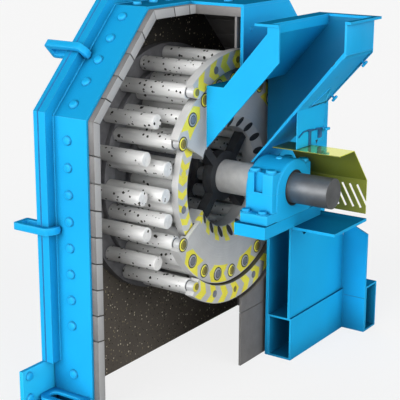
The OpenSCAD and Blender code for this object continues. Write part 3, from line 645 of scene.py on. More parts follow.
# dark steel for the hub; also painted shade in the grooves round the pin heads and in the bevel pockets
darkSteel = plainSteel("phosphatedSteel", "#3c3d40", "#2b2c2e", 0.55, 0.3)
paleSteel = plainSteel("groundSteelFace", "#c9c9cc", "#b4b4b8", 0.35, 0.4)
row3Spots = {"middle": 0.490, "start": 0.0, "pitch": 15.0, "size": 0.026}
row4Spots = {"middle": 0.588, "start": 0.0, "pitch": 18.0, "size": 0.017}
paintedHead = markedHead("markedPinHead", row3Spots, "#b9b8a4", "#a3a28c")
paintedCentre = markedHead("markedPinCentre", dict(row3Spots, size=0.017), "#8f8548", "#756c34", "#a79c3c")
paintedEnd = markedHead("markedPinEnd", row4Spots, "#9a9148", "#7d752f", "#f0e650")
shaftFinish = shaftSteel("forgedShaft", 0.4125)
print("materials ready")

# chevrons: middle and half width of the band, pitch, first angle and lean in degrees,
# the way that they point, the painted share of the pitch, and the X that they lie beyond
ringMarks = [  # rings of the left rotor, whose chevrons point the way that it turns
    {"middle": 0.590, "half": 0.043, "pitch": 10.0, "start": 249.0, "lean": 3.2, "way": 1,
     "share": 0.52, "face": 0.2455},
    {"middle": 0.390, "half": 0.035, "pitch": 10.0, "start": 190.4, "lean": 3.4, "way": 1,
     "share": 0.52, "face": 0.1975},
]
discMarks = [  # rim and bevel of the right disc, which turns the other way
    {"middle": 0.490, "half": 0.044, "pitch": 30.0, "start": 215.8, "lean": 3.9, "way": -1,
     "share": 0.53, "face": 0.2255},
    {"middle": 0.290, "half": 0.034, "pitch": 18.0, "start": 184.0, "lean": 4.0, "way": -1,
     "share": 0.42, "face": 0.1955, "around": 75.0},
]
ringFinish = discSteel("turnedRingSteel", ringMarks, (0.5445,))
discFinish = discSteel("turnedDiscSteel", discMarks)
leftDiscFinish = plainSteel("grooveTurnedSteel", "#77777a", "#5f5f62", 0.5, 0.3, 60)

slotOf = {entry["node"]: entry["material_slot"] for entry in frame["record"]["subparts"]}
finishOfSlot = {
    "blue_paint": blueEnamel, "liner_iron": linerIron, "packing_rubber": seamRubber,
    "guard_paint": guardEnamel, "disc_steel": dullSteel, "pin_steel": brightPin, "shaft_steel": shaftFinish,
}
finishOfNode = {
    "left_liner": linerCrust, "right_disc": discFinish, "left_rings": ringFinish,
    "left_disc": leftDiscFinish, "right_hub": darkSteel,
}
for name, node in nodes.items():
    node.data.materials.clear()
    node.data.materials.append(finishOfNode.get(name, finishOfSlot[slotOf[name]]))


# camera, lights and floor

camera = {"spot": (3.214, -4.634, 2.417), "turn": 34.487, "dip": 15.383, "roll": 0.171, "lens": 102.70}


def addCamera():
    turn, dip, roll = (math.radians(camera[key]) for key in ("turn", "dip", "roll"))
    ahead = Vector((-math.sin(turn) * math.cos(dip), math.cos(turn) * math.cos(dip), -math.sin(dip)))
    right = Vector((math.cos(turn), math.sin(turn), 0))
    up = right.cross(ahead)
    leanRight = math.cos(roll) * right + math.sin(roll) * up
    leanUp = math.cos(roll) * up - math.sin(roll) * right
    deselectAll()
    bpy.ops.object.camera_add()
    view = bpy.context.object
    turned = Matrix((leanRight, leanUp, -ahead)).transposed().to_4x4()
    view.matrix_world = Matrix.Translation(camera["spot"]) @ turned
    view.data.lens = camera["lens"]
    view.data.sensor_width = 36
    view.data.clip_end = 200
    bpy.context.scene.camera = view


light = {  # where each lamp shines from, its strength and its angular size in degrees
    "keyLight": ((-0.10, -0.99, 0.10), 4.3, 60),
    "fillLight": ((0.97, -0.20, 0.10), 2.8, 70),
    "backLight": ((-0.66, 0.74, 0.12), 2.4, 60),
}
studio = {"walls": 0.36, "ceiling": 0.06, "mirrored": 0.8}  # strength of its light, and of its mirror image


def addSun(name):
    fromWhere, power, angle = light[name]
    deselectAll()
    bpy.ops.object.light_add(type="SUN", location=Vector(fromWhere) * 8)
    sun = bpy.context.object
    sun.name = name
    sun.rotation_euler = Vector(fromWhere).to_track_quat("Z", "Y").to_euler()
    sun.data.energy = power
    sun.data.angle = math.radians(angle)
    sun.visible_glossy = name != "backLight"  # it lifts the hidden sides without a glare on level faces


def addStudio():  # white where it is seen or mirrored, and dimmer in the light that it gives
    world = bpy.context.scene.world or bpy.data.worlds.new("studio")
    bpy.context.scene.world = world
    world.use_nodes = True
    tree = world.node_tree
    sky = tree.nodes["Background"]
    add = partial(addNode, tree)
    direct, through, glossy = (
        add("LightPath", kind) for kind in ("Is Camera Ray", "Is Transmission Ray", "Is Glossy Ray"))
    seen = add("Math", 0, [direct, through], operation="MAXIMUM")
    seen = add("Math", 0, [glossy, studio["mirrored"], seen], operation="MULTIPLY_ADD", use_clamp=True)
    height = add("SeparateXYZ", "Z", [add("TexCoord", "Generated")])
    around = add("MapRange", 0, [height, 0.0, 0.7, studio["walls"], studio["ceiling"]])
    tree.links.new(add("Mix", 0, {0: seen, 2: around, 3: 1.0}), sky.inputs["Strength"])
    sky.inputs["Color"].default_value = (1, 1, 1, 1)


def addFloor():
    deselectAll()
    bpy.ops.mesh.primitive_plane_add(size=80, location=(0, 0, 0))
    floor = bpy.context.object
    floor.name = "studioFloor"
    material = bpy.data.materials.new("palePaperFloor")
    material.use_nodes = True
    shader, add, link = openMaterial(material)
    shader.inputs["Roughness"].default_value = 0.9
    seen = add("LightPath", "Is Camera Ray")
    link(add("Mix", 2, {0: seen, 6: sRgb("#8c8c8c"), 7: sRgb("#f4f4f4")}, data_type="RGBA"), "Base Color")
    glow = add("Emission", 0, {"Color": (1, 1, 1, 1), "Strength": 1.0})
    share = add("Math", 0, [seen, 0.8], operation="MULTIPLY")
    mixed = add("MixShader", 0, [share, shader.outputs[0], glow])
    tree = material.node_tree
    tree.links.new(mixed, tree.nodes["Material Output"].inputs["Surface"])
    floor.data.materials.append(material)


addCamera()
for name in light:
    addSun(name)
addStudio()
addFloor()
bpy.context.scene.view_settings.view_transform = "Standard"
print("camera and light set")


# bolts of the housing

housing = {
    "boltX": -0.114, "secondBoltX": 0.150, "pitch": 0.127, "headRadius": 0.0215, "headRise": 0.015,
    "frontHeights": 0.424, "frontCount": 8, "lowBolt": 0.179, "cornerCount": 5, "roofCount": 6,
    "baseBoltY": 1.012, "baseBoltHeights": (0.086, 0.197),
}


def buttonHead(radius, rise):  # low round head with a domed top on a thin washer
    head = newRound("buttonHead", radius, rise * 0.3, 28)
    steps = [(radius * 0.06, 0), (0, rise * 0.35), (radius * 0.16, rise * 0.22), (radius * 0.3, rise * 0.1)]
    return smooth(stepTop(head, steps), 50)


def addHousingBolts():
    wallLow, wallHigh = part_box("front_wall")
    plateLow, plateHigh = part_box("left_base_plate")
    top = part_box("roof_plate")[1].z
    half = -wallLow.y
    cornerHeight = wallHigh.z  # where the front wall meets the sloping plate
    slope = 1 / math.sqrt(2)
    pitch, frontX = housing["pitch"], housing["boltX"]
    backX = (frontX, housing["secondBoltX"])  # the right half is cut away in front, so only the back has both
    spots = []
    heights = [housing["frontHeights"] + i * pitch for i in range(housing["frontCount"])]
    for z in heights + [housing["lowBolt"]]:
        spots.append(standOn((frontX, -half, z), (0, -1, 0)))
        spots += [standOn((x, half, z), (0, 1, 0)) for x in backX]
    cornerLength = (top - cornerHeight) / slope
    for i in range(housing["cornerCount"]):
        s = (cornerLength - (housing["cornerCount"] - 1) * pitch) / 2 + i * pitch
        y, z = -half + s * slope, cornerHeight + s * slope
        spots.append(standOn((frontX, y, z), (0, -slope, slope)))
        spots += [standOn((x, -y, z), (0, slope, slope)) for x in backX]
    for i in range(housing["roofCount"]):
        y = (i - (housing["roofCount"] - 1) / 2) * pitch
        spots += [standOn((x, y, top), (0, 0, 1)) for x in (backX if y > 0 else (frontX,))]
    ends = [standOn((x, side * housing["baseBoltY"], z), (way, 0, 0))
            for side in (-1, 1) for z in housing["baseBoltHeights"]
            for x, way in ((plateHigh.x, 1), (plateLow.x, -1))]
    for name, places in (("housing_bolts", spots), ("base_plate_bolts", ends)):
        model = buttonHead(housing["headRadius"], housing["headRise"])
        finish(scatter(name, model, places), castingEnamel, "frame")


addHousingBolts()
print("housing bolts set")


# liner blocks

liner = {  # roofFrom, roofCut and cutRoofJoints are in Y; on its right half the roof starts at roofCut
    "joint": 0.004, "edge": 0.003, "blockX": 0.262, "pitch": 0.127, "lowJoint": 0.368, "wallJoints": 8,
    "slopeBlocks": 5, "roofFrom": -0.213, "roofJoints": 5, "roofCut": -0.035,
    "cutRoofJoints": (0.041, 0.168, 0.295),
}


def sideBlocks(name, outerLine, innerLine, joints, spans):
    # splits one side of the lining, from outerLine to innerLine in Y and Z, at shares of its length
    pieces = []
    gap = liner["joint"] / 2 / (Vector(outerLine[1]) - Vector(outerLine[0])).length
    shares = [0] + joints + [1]
    at = lambda line, t: Vector(line[0]).lerp(Vector(line[1]), t)
    for a, b in zip(shares[:-1], shares[1:]):
        a0, b0 = a + (gap if a else 0), b - (gap if b < 1 else 0)
        corners = [at(outerLine, a0), at(outerLine, b0), at(innerLine, b0), at(innerLine, a0)]
        pieces += [prism("block", corners, x0, x1, liner["edge"]) for x0, x1 in spans]
    return joined(name, pieces)


def addLinerBlocks():
    low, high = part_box("front_liner")
    cornerLow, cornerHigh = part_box("corner_liners")
    roofLow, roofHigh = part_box("roof_liner")
    outer, inner = -low.y, -high.y  # distances of the lining's faces from the shaft line
    outerZ = max(high.z, cornerLow.z)  # height of the outer corner
    reach = (outer - inner) * (math.sqrt(2) - 1)  # how far the inner corner lies below it
    roofHalf = outer - (roofHigh.z - outerZ)
    pitch = liner["pitch"]
    middle = low.x + liner["blockX"]
    cutSpan = [(low.x, high.x)]
    backSpan = [(low.x, middle - liner["joint"]), (middle, cornerHigh.x)]

    outerSide, innerSide = [(outer, 0), (outer, outerZ)], [(inner, 0), (inner, outerZ - reach)]
    outerSlope = [(outer, outerZ), (roofHalf, roofHigh.z)]
    innerSlope = [(inner, outerZ - reach), (roofHalf - reach, roofLow.z)]
    outerRoof = [(-roofHalf, roofHigh.z), (roofHalf, roofHigh.z)]
    innerRoof = [(-roofHalf + reach, roofLow.z), (roofHalf - reach, roofLow.z)]
    front = lambda line: [(-y, z) for y, z in line]

    joints = [(liner["lowJoint"] + i * pitch) / outerZ for i in range(liner["wallJoints"])]
    slopeJoints = [i / liner["slopeBlocks"] for i in range(1, liner["slopeBlocks"])]
    roofJoints = [(roofHalf + (i * pitch + liner["roofFrom"])) / (2 * roofHalf)
                  for i in range(liner["roofJoints"])]
    cut = liner["roofCut"]
    cutJoints = [(y - cut) / (roofHalf - cut) for y in liner["cutRoofJoints"]]
    sides = (
        ("front_liner", "front_liner_blocks", [(front(outerSide), front(innerSide), joints, cutSpan)]),
        ("back_liner", "back_liner_blocks", [(outerSide, innerSide, joints, backSpan)]),
        ("corner_liners", "corner_liner_blocks", [
            (front(outerSlope), front(innerSlope), slopeJoints, cutSpan),
            (outerSlope, innerSlope, slopeJoints, backSpan)]),
        ("roof_liner", "roof_liner_blocks", [
            (outerRoof, innerRoof, roofJoints, cutSpan),
            ([(cut, roofHigh.z), outerRoof[1]], [(cut, roofLow.z), innerRoof[1]], cutJoints,
             [(middle, cornerHigh.x)])]),
    )
    for node, name, parts in sides:
        blocks = joined(name, [sideBlocks("side", *part) for part in parts])
        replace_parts(finish(blocks, linerIron, "frame"), node)


addLinerBlocks()
print("liner blocks set")


# pins and pin heads

rows = {  # radius of the pin circle, number of pins, angle of the first, and the rotor they are on
    "row_1": {"radius": 0.295, "count": 20, "start": 90.0, "body": "right_rotor"},
    "row_2": {"radius": 0.390, "count": 14, "start": 180 + 180 / 14, "body": "left_rotor"},
    "row_3": {"radius": 0.490, "count": 24, "start": 0.0, "body": "right_rotor"},
    "row_4": {"radius": 0.588, "count": 20, "start": 0.0, "body": "left_rotor"},
}
head = {  # radius, height of the blank, and the (width, rise) steps turned into its face
    "groove": (0.0350, 0.0008, [(0.0012, 0.0006), (0.0035, 0.0), (0.0012, -0.0006)]),
    "inner": (0.0215, 0.0030, [(0.0008, 0.0004), (0.002, 0.0), (0.001, -0.0004)]),
    "seat": (0.0300, 0.0022, [(0.0015, 0.0008), (0.006, 0)]),
    "centre": (0.0190, 0.0030, [(0.0012, 0.0008), (0.003, 0.0)]),
    "ringEnd": (0.019, 0.0008, [(0.0015, 0.0006), (0.0035, 0.0), (0.002, -0.0008)]),
    "spigotEnd": (0.0235, 0.0008, [(0.0015, 0.0006), (0.0035, 0.0), (0.002, -0.0008)]),
    "discCut": 30, "ringCut": 54,  # degrees from the front to the edges of the cut sector
    "row2Face": 0.198,  # X of the inner ring's face
    "pinEdge": 0.005,
}
pocket = {  # the bevel's lean is how far it runs outwards and how far along X
    "circle": 0.278, "behindFace": 0.015, "lean": (0.05, 0.03), "stretch": (1.45, 0.86, 1, 1),
    "shape": (0.021, 0.0015, [(0.002, 0.0008), (0.003, -0.001), (0.006, -0.0006)]),
}


def onRotor(radius, angle, x):  # matrix for a model that faces +X at a place on the rotor
    a = math.radians(angle)
    spot = shaftLine + Vector((x, radius * math.cos(a), radius * math.sin(a)))
    return standOn(spot, (1, 0, 0))


def fromFront(angle):
    return abs((angle % 360) - 180)


def anglesOf(row):
    return [row["start"] + i * 360 / row["count"] for i in range(row["count"])]


def addPins():
    for name, row in rows.items():
        pins = roundEdges(cadCopy(name + "_pins", name + "_rounded_pins"), head["pinEdge"], 3, 40)
        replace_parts(finish(pins, seatedPins.get(name, brightPin), row["body"]), name + "_pins")


def turnedButton(name, radius, height, steps, sides):  # a round blank with steps turned into its face
    return smooth(stepTop(newRound(name, radius, height, sides), steps), 40)


def addPinHeads():
    # every other head of row 3 is painted, the rest stay bare
    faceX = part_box("right_disc")[1].x
    row = rows["row_3"]
    heads = [(i % 2, onRotor(row["radius"], a, faceX)) for i, a in enumerate(anglesOf(row))
             if fromFront(a) > head["discCut"] - 1]
    every = [place for odd, place in heads]
    bare = [place for odd, place in heads if odd]
    painted = [place for odd, place in heads if not odd]
    # the pins of rows 4 and 2 end in their rings, where every other one shows yellowed
    plainEnds, yellowEnds, spigotEnds = [], [], []
    for name, faceX in (("row_4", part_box("left_rings")[1].x), ("row_2", head["row2Face"])):
        for i, a in enumerate(anglesOf(rows[name])):
            place = onRotor(rows[name]["radius"], a, faceX)
            if name == "row_4" and abs(fromFront(a) - head["ringCut"]) < 1:
                spigotEnds.append(place)
            elif name == "row_2" or fromFront(a) > head["ringCut"] - 1:
                (yellowEnds if i % 2 else plainEnds).append(place)
    # the grooves round each head are thin pieces of dark steel: painted shade in the grooves
    for name, shape, sides, places, material, body in (
            ("row_3_head_grooves", "groove", 36, every, darkSteel, "right_rotor"),
            ("row_3_inner_grooves", "inner", 36, every, darkSteel, "right_rotor"),
            ("row_3_bare_heads", "seat", 36, bare, paleSteel, "right_rotor"),
            ("row_3_painted_heads", "seat", 36, painted, paintedHead, "right_rotor"),
            ("row_3_head_centres_bare", "centre", 36, bare, slateSteel, "right_rotor"),
            ("row_3_head_centres_painted", "centre", 36, painted, paintedCentre, "right_rotor"),
            ("row_end_dots_bare", "ringEnd", 24, plainEnds, slateSteel, "left_rotor"),
            ("row_end_dots_marked", "ringEnd", 24, yellowEnds, paintedEnd, "left_rotor"),
            ("row_4_spigot_ends", "spigotEnd", 24, spigotEnds, paintedEnd, "left_rotor")):
        model = turnedButton(shape, *head[shape], sides)
        finish(scatter(name, model, places), material, body)


def addBevelPockets():
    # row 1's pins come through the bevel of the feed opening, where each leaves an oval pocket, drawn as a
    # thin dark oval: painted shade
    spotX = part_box("right_disc")[1].x - pocket["behindFace"]
    alongX = Vector((1, 0, 0))
    run, rise = pocket["lean"]
    places = []
    for a in anglesOf(rows["row_1"]):
        if fromFront(a) < head["discCut"] + 2:
            continue
        turn = math.radians(a)
        outward = Vector((0, math.cos(turn), math.sin(turn)))
        spot = shaftLine + outward * pocket["circle"] + alongX * spotX
        normal = (alongX * run - outward * rise).normalized()
        along = (outward * run + alongX * rise).normalized()
        turned = Matrix((along, normal.cross(along), normal)).transposed().to_4x4()
        places.append(Matrix.Translation(spot) @ turned @ Matrix.Diagonal(pocket["stretch"]))
    model = turnedButton("pocket", *pocket["shape"], 32)
    finish(scatter("row_1_pin_pockets", model, places), darkSteel, "right_rotor")


addPins()
addPinHeads()
addBevelPockets()
print("pins and heads set")


# pillow blocks

bearing = {  # X values count from the middle of the sole plate, heights from the shaft line
    "bodyX": (-0.094, 0.0845), "bodyY": 0.164, "dome": 0.140, "bodyEdge": 0.013,
    "shoulderX": (-0.060, 0.0790), "shoulderFront": 0.200, "shoulderBack": 0.166, "shoulderTop": 0.100,
    "footX": (-0.068, 0.0835), "footY": 0.250, "footHeight": 0.050, "edge": 0.007, "split": 0.0001,
    "boreRadius": 0.088, "boreLength": 0.4, "shoulderLow": 0.006,  # over the sole plate
    "pocketX": (-0.022, 0.026), "pocketDepth": 0.018, "pocketLow": 0.006,
    "pocketFront": -0.3, "pocketTop": 0.2,  # both lie outside the casting
    "capBoltX": (-0.036, 0.052), "capBoltFront": 0.168, "capBoltBack": 0.137,
    "capBolt": (0.031, 0.003, [(0.005, 0.0), (0.0015, 0.010), (0.003, 0.003)]),
    "footBoltX": (-0.048, 0.044), "footBoltY": 0.226, "footBolt": (0.042, 0.015),
    "plug": (0.016, 0.004, [(0.002, 0.003), (0.003, 0.0), (0.002, -0.002)]),
    "plugSpot": (0.006, -0.02, -0.003),  # X, Y and height from the top of the dome
    "sealFrom": (0.003, -0.009),  # X of the two seals, each from its end of the body
    "sealRadius": 0.089, "sealWidth": 0.006, "sealLip": [(0.004, 0.0), (0.003, -0.002), (0.003, 0.001)],
    "gap": 0.0005,  # keeps the body clear of the sole plate's edge and top
    "lap": 0.05, "cheekLap": 0.03,  # how far the blanks reach past the planes that they are cut at
}


def hexBolt(name, across, rise):  # hexagon head on a washer
    bolt = roundEdges(newRound(name, across * 0.5, rise, 6), rise * 0.16, 1)
    washer = roundEdges(newRound("washer", across * 0.68, rise * 0.22, 28), rise * 0.06, 1)
    return joined(name, [bolt, washer])


def onShaftLine(x):  # matrix that lays a Z-built model along the shaft from x
    return Matrix.Translation(shaftLine + Vector((x, 0, 0))) @ Matrix.Rotation(math.radians(90), 4, "Y")


def addPillowBlocks():
    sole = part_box("sole_plates")[1]
    z, bottom = axisHeight, sole.z
    middle = sole.x - bearing["gap"] - bearing["bodyX"][1]
    x0, x1 = (middle + x for x in bearing["bodyX"])

    def block(label, xs, ys, low, high, edge):
        corners = (middle + xs[0], ys[0], low), (middle + xs[1], ys[1], high)
        return roundEdges(newBlock(label, *corners), edge, 3)

    # round back over straight cheeks, with a shoulder in front and behind, on two feet
    over, under = z + bearing["split"], z - bearing["split"]
    shoulderY = -bearing["shoulderFront"], bearing["shoulderBack"]
    bodyY = -bearing["bodyY"], bearing["bodyY"]
    footY = -bearing["footY"], bearing["footY"]
    dome = roundEdges(newRound("dome", bearing["dome"], x1 - x0, 72), bearing["bodyEdge"], 4, 60)
    dome.matrix_world = Matrix.Diagonal((1, bearing["bodyY"] / bearing["dome"], 1, 1)) @ onShaftLine(x0)
    shoulder = block("shoulder", bearing["shoulderX"], shoulderY, z - bearing["lap"],
                     z + bearing["shoulderTop"], bearing["edge"])
    cap = cutWith(cutLevel(settle(dome), over, True), cutLevel(shoulder, over, True), "UNION")
    cutWith(cap, newBlock(
        "pocket", (middle + bearing["pocketX"][0], bearing["pocketFront"], z + bearing["pocketLow"]),
        (middle + bearing["pocketX"][1], bearing["pocketDepth"] - bearing["shoulderFront"],
         z + bearing["pocketTop"])))
    cheeks = block("cheeks", bearing["bodyX"], bodyY, bottom - bearing["cheekLap"],
                   z + bearing["cheekLap"], bearing["bodyEdge"])
    cheeks = cutLevel(cutLevel(cheeks, under, False), bottom + bearing["gap"], True)
    lower = block("shoulder", bearing["shoulderX"], shoulderY, bottom + bearing["shoulderLow"],
                  z + bearing["lap"], bearing["edge"])
    feet = block("feet", bearing["footX"], footY, bottom, bottom + bearing["footHeight"], bearing["edge"])
    base = cutWith(cutWith(feet, cheeks, "UNION"), cutLevel(lower, under, False), "UNION")
    for piece in (base, cap):
        bore = newRound("bore", bearing["boreRadius"], bearing["boreLength"], 64)
        bore.matrix_world = onShaftLine(middle - bearing["boreLength"] / 2)
        smooth(cutWith(piece, settle(bore)), 35)
    capSpots = [Matrix.Translation((middle + x, y, z + bearing["shoulderTop"]))
                for x in bearing["capBoltX"] for y in (-bearing["capBoltFront"], bearing["capBoltBack"])]
    footSpots = [Matrix.Translation((middle + x, side * bearing["footBoltY"], bottom + bearing["footHeight"]))
                 for x in bearing["footBoltX"] for side in (-1, 1)]
    plug = turnedButton("plug", *bearing["plug"], 24)
    x, y, rise = bearing["plugSpot"]
    plug.matrix_world = Matrix.Translation((middle + x, y, z + bearing["dome"] + rise))
    capBolts = scatter("capBolts", turnedButton("capBolt", *bearing["capBolt"], 32), capSpots)
    footBolts = scatter("footBolts", hexBolt("footBolt", *bearing["footBolt"]), footSpots)
    cap = joined("right_cap_casting", [cap, capBolts, settle(plug)])
    base = joined("right_base_casting", [base, footBolts])
    for name, half, node in (("pillow_caps", cap, "bearing_caps"), ("pillow_bases", base, "bearing_bases")):
        both = joined(name, [half, mirrored(half, (1, 0, 0))])
        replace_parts(finish(both, castingEnamel, "frame"), node)
    seals = []  # each is a closed disc whose middle lies hidden in the shaft
    for x in (x0 + bearing["sealFrom"][0], x1 + bearing["sealFrom"][1]):
        seal = newRound("seal", bearing["sealRadius"], bearing["sealWidth"], 64)
        stepTop(seal, bearing["sealLip"])
        seal.matrix_world = onShaftLine(x)
        seals.append(settle(seal))
    seal = joined("right_seals", seals)
    finish(joined("lip_seals", [seal, mirrored(seal, (1, 0, 0))]), sealRubberAndHoleShade, "frame")


addPillowBlocks()
print("pillow blocks set")


# clamps of the cover

clamp = {"width": 0.034, "bend": 0.011, "edge": 0.0045}  # the width is that of the CAD's bar


def addClamps():
    clamps = cadCopy("cover_clamps", "cover_clamp_bars")
    bpy.ops.object.mode_set(mode="EDIT")
    bpy.ops.mesh.select_mode(type="EDGE")
    bpy.ops.mesh.select_all(action="DESELECT")
    bpy.ops.object.mode_set(mode="OBJECT")
    for edge in clamps.data.edges:  # the bends of the bar run across its width
        a, b = (clamps.data.vertices[i].co for i in edge.vertices)
        edge.select = abs(a.x - b.x) < 1e-5 and abs((a - b).length - clamp["width"]) < 0.0003
    bpy.ops.object.mode_set(mode="EDIT")
    bpy.ops.mesh.bevel(offset=clamp["bend"], segments=4, affect="EDGES", clamp_overlap=True)
    bpy.ops.object.mode_set(mode="OBJECT")
    roundEdges(clamps, clamp["edge"], 2, 50)
    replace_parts(finish(clamps, castingEnamel, "frame"), "cover_clamps")


addClamps()
print("clamps set")


# fittings of the feed chute

chute = {  # knobs and bolts on the floor are given in X and Y, those on the leg and the wall in Y and Z
    "bend": 1.6873,  # height at which the outer wall turns into the sloping floor
    "ledgeX": 0.828, "ledgeLength": 0.026, "ledgeHeights": (-0.004, 0.012), "ledgeEnd": 0.0005,
    "ledgeDish": (0.004, -0.003), "ledgeEdge": 0.0015,
    "knobs": ((0.775, 0.268), (0.619, 0.272)), "legKnob": (0.258, 1.268),
    "knobStem": (0.006, 0.022), "knobNut": (0.012, 0.008), "knobBar": (0.019, 0.007, 0.020, 0.033),
    "bolts": ((0.719, 0.126), (0.520, 0.118)), "wallBolt": (0.036, 1.756), "bolt": (0.018, 0.007),
    "gussetX": 0.590, "gussetWidth": (-0.002, 0.011), "gussetDish": (0.009, -0.009),
    "gusset": ((0.100, 0.0), (0.258, 0.010), (0.166, 0.122), (0.150, 0.122)),
    "slots": (0.786, 0.466, 0.430), "slotEdge": 0.0012,
    "slot": ((0, -0.0004, -0.0125), (0.027, 0.002, -0.0085)),  # down the floor, along Y, and out of it
    "legX": 0.587, "legFoot": 1.206, "legPlate": 0.0035, "legFront": 0.002, "edge": 0.001,
    "latchHole": (0.198, 1.213), "holeRadius": 0.013, "holeDepth": 0.0008, "latchDish": (0.008, -0.006),
    "arm": ((0.016, 1.262), (0.060, 1.282), (0.116, 1.284)), "rod": 0.003,
}
legBlocks = {  # two corners, with X from the leg's face, then the width and segments of the edges
    "latch": ((-0.002, 0.206, 1.228), (0.007, 0.240, 1.276), 0.001, 1),
    "catch": ((0, 0.176, 1.272), (0.010, 0.212, 1.280), 0.003, 2),
    "strap": ((-0.001, 0.114, 1.208), (0.004, 0.138, 1.284), 0.0015, 1),
    "bar": ((0.002, 0.104, 1.274), (0.009, 0.164, 1.282), 0.002, 2),
}


def tKnob():  # T-handled bolt, standing on Z = 0
    stem = newRound("stem", *chute["knobStem"], 20)
    nut = roundEdges(newRound("nut", *chute["knobNut"], 6), chute["edge"], 1)
    x, y, low, high = chute["knobBar"]
    bar = roundEdges(newBlock("bar", (-x, -y, low), (x, y, high)), 0.005, 3)
    return joined("tKnob", [stem, nut, bar])


def addChuteFittings():
    low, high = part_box("chute_floor")
    legX = chute["legX"]
    slope = (chute["bend"] - low.z) / (high.x - low.x)
    floorZ = lambda x: low.z + (x - low.x) * slope
    down = Vector((-1, 0, -slope)).normalized()
    out = Vector((slope, 0, -1)).normalized()
    side = Vector((0, 1, 0))
    facesOut = lambda face: face.normal.x > 0.9

    def onFloor(x, y, flat=True):  # a spot under the sloping floor, with Z or X of the model pointing out
        axes = (down, side, out) if flat else (out, side, -down)
        turned = Matrix(axes).transposed().to_4x4()
        return Matrix.Translation((x, y, floorZ(x))) @ turned

    sunk, rise = chute["ledgeHeights"]
    ledge = newBlock("ledge", (0, chute["ledgeEnd"], sunk),
                     (chute["ledgeLength"], high.y - chute["ledgeEnd"], rise))
    insetFaces(ledge, lambda face: face.normal.z > 0.9, [chute["ledgeDish"]])
    roundEdges(ledge, chute["ledgeEdge"]).matrix_world = onFloor(chute["ledgeX"], 0)
    gusset = prism("gusset", chute["gusset"], *chute["gussetWidth"], chute["edge"])
    insetFaces(gusset, facesOut, [chute["gussetDish"]]).matrix_world = onFloor(chute["gussetX"], 0, False)
    legFace = newBlock("legFace", (legX - chute["legPlate"], chute["legFront"], chute["legFoot"]),
                       (legX, high.y, floorZ(legX)))
    knobs = [onFloor(*spot) for spot in chute["knobs"]]
    knobs.append(standOn((legX, *chute["legKnob"]), (1, 0, 0)))
    bolts = [onFloor(*spot) for spot in chute["bolts"]]
    bolts.append(standOn((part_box("right_wall")[1].x, *chute["wallBolt"]), (1, 0, 0)))
    parts = [settle(ledge), settle(gusset), roundEdges(legFace, chute["edge"], 1),
             scatter("knobs", tKnob(), knobs), scatter("bolts", hexBolt("bolt", *chute["bolt"]), bolts)]
    finish(joined("chute_fittings", parts), castingEnamel, "frame")
    # toggle that holds the leg: latch and catch, a strap, a cross bar and a bent arm of steel rod
    toggle = []
    for name, (lowCorner, highCorner, edge, segments) in legBlocks.items():
        piece = newBlock(name, *((legX + x, y, z) for x, y, z in (lowCorner, highCorner)))
        if name == "latch":
            insetFaces(piece, facesOut, [chute["latchDish"]])
        toggle.append(roundEdges(piece, edge, segments))
    toggle += rodsAlong(chute["arm"], legX + chute["rod"], chute["rod"], 12, 0.001)
    finish(joined("leg_toggle", toggle), toggleEnamel, "frame")
    # the slots and the latch hole are thin dark pieces: painted shade in the openings
    slots = []
    for x in chute["slots"]:
        slot = roundEdges(newBlock("slot", *chute["slot"]), chute["slotEdge"])
        slot.matrix_world = onFloor(x, 0)
        slots.append(settle(slot))
    hole = newRound("hole", chute["holeRadius"], chute["holeDepth"], 3)
    hole.matrix_world = standOn((legX, *chute["latchHole"]), (1, 0, 0), math.pi)
    finish(joined("chute_slots", slots + [settle(hole)]), sealRubberAndHoleShade, "frame")


addChuteFittings()
print("chute fittings set")


# seams and welds

seam = {  # the corner plate's outline is in Y and Z; wing and liner are heights of joints
    "corner": ((0.740, 0.575), (0.8275, 0.530), (0.8275, 0.580), (0.740, 0.594)),
    "cornerX": (-0.0095, -0.0002), "cornerEdge": 0.0008, "wing": 0.199, "wingHalf": 0.0014,
    "wingEnd": 0.001, "wingY": (-0.0008, 0.002), "wingEdge": 0.0006,
    "liner": 0.293, "linerGap": 0.003, "linerEdge": 0.001,
    "weldRadius": 0.0055, "beadShare": 0.9992, "beadTop": 0.0007,
}
brokenEdges = (  # name of the new piece, its CAD node, its finish and the width of its edges
    ("front_foot_casting", "front_foot", castingEnamel, 0.003),
    ("left_base_slab", "left_base_plate", baseEnamel, 0.003),
    ("chute_back_plate", "chute_back", chuteEnamel, 0.003),
    ("chute_floor_plate", "chute_floor", chuteEnamel, 0.001),
)


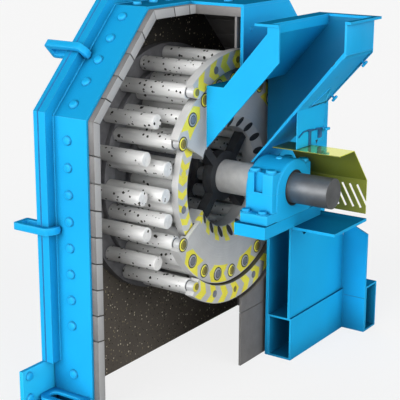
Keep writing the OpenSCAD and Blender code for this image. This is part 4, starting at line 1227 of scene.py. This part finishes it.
def addSeams():
    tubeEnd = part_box("base_tubes")[1].x
    wingLow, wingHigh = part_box("right_wing")
    y0, y1 = (wingLow.y + y for y in seam["wingY"])
    line = newBlock("wing_seam", (tubeEnd + seam["wingEnd"], y0, seam["wing"] - seam["wingHalf"]),
                    (wingHigh.x - seam["wingEnd"], y1, seam["wing"] + seam["wingHalf"]))
    finish(roundEdges(line, seam["wingEdge"], 1), seamShade, "frame")
    # stiffener that closes the corner between the column's sloping edge and the wing
    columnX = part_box("right_column")[1].x
    x0, x1 = (columnX + x for x in seam["cornerX"])
    corner = prism("column_corner_plate", seam["corner"], x0, x1, seam["cornerEdge"])
    finish(corner, blueEnamel, "frame")
    for name, node, material, edge in brokenEdges:
        piece = roundEdges(cadCopy(node, name), edge)
        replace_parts(finish(piece, material, "frame"), node)
    # the right liner is two plates, one above the other
    halves = []
    for sign in (-1, 1):
        level = seam["liner"] + sign * seam["linerGap"] / 2
        half = cutLevel(cadCopy("right_liner", "plate"), level, sign > 0)
        halves.append(roundEdges(half, seam["linerEdge"], 1))
    both = finish(joined("right_liner_plates", halves), linerIron, "frame")
    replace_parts(both, "right_liner")
    # fillet weld along the foot of the flange, on the front, the slopes and the roof
    flangeLow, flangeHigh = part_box("left_flange")
    wallLow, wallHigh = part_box("front_wall")
    half, shoulder, top = -wallLow.y, wallHigh.z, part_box("roof_plate")[1].z
    corners = [(-half, flangeLow.z), (-half, shoulder), (-half + top - shoulder, top),
               (half - top + shoulder, top), (half, shoulder), (half, flangeLow.z)]
    rods = [smooth(rod, 40) for rod in rodsAlong(corners, flangeHigh.x, seam["weldRadius"], 16)]
    finish(joined("flange_weld", rods), blueEnamel, "frame")
    # the packing swells to the edge of the cover and the flange
    strip = cadCopy("packing_strip", "packing_bead")
    low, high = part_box("packing_strip")
    wider = flangeHigh.y / high.y * seam["beadShare"]
    taller = (flangeHigh.z - seam["beadTop"] - low.z) / (high.z - low.z)
    foot = Matrix.Translation((0, 0, low.z))
    grown = foot @ Matrix.Diagonal((1, wider, taller, 1)) @ foot.inverted()
    strip.matrix_world = grown @ strip.matrix_world
    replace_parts(finish(settle(strip), seamRubber, "frame"), "packing_strip")


addSeams()
print("seams and welds set")

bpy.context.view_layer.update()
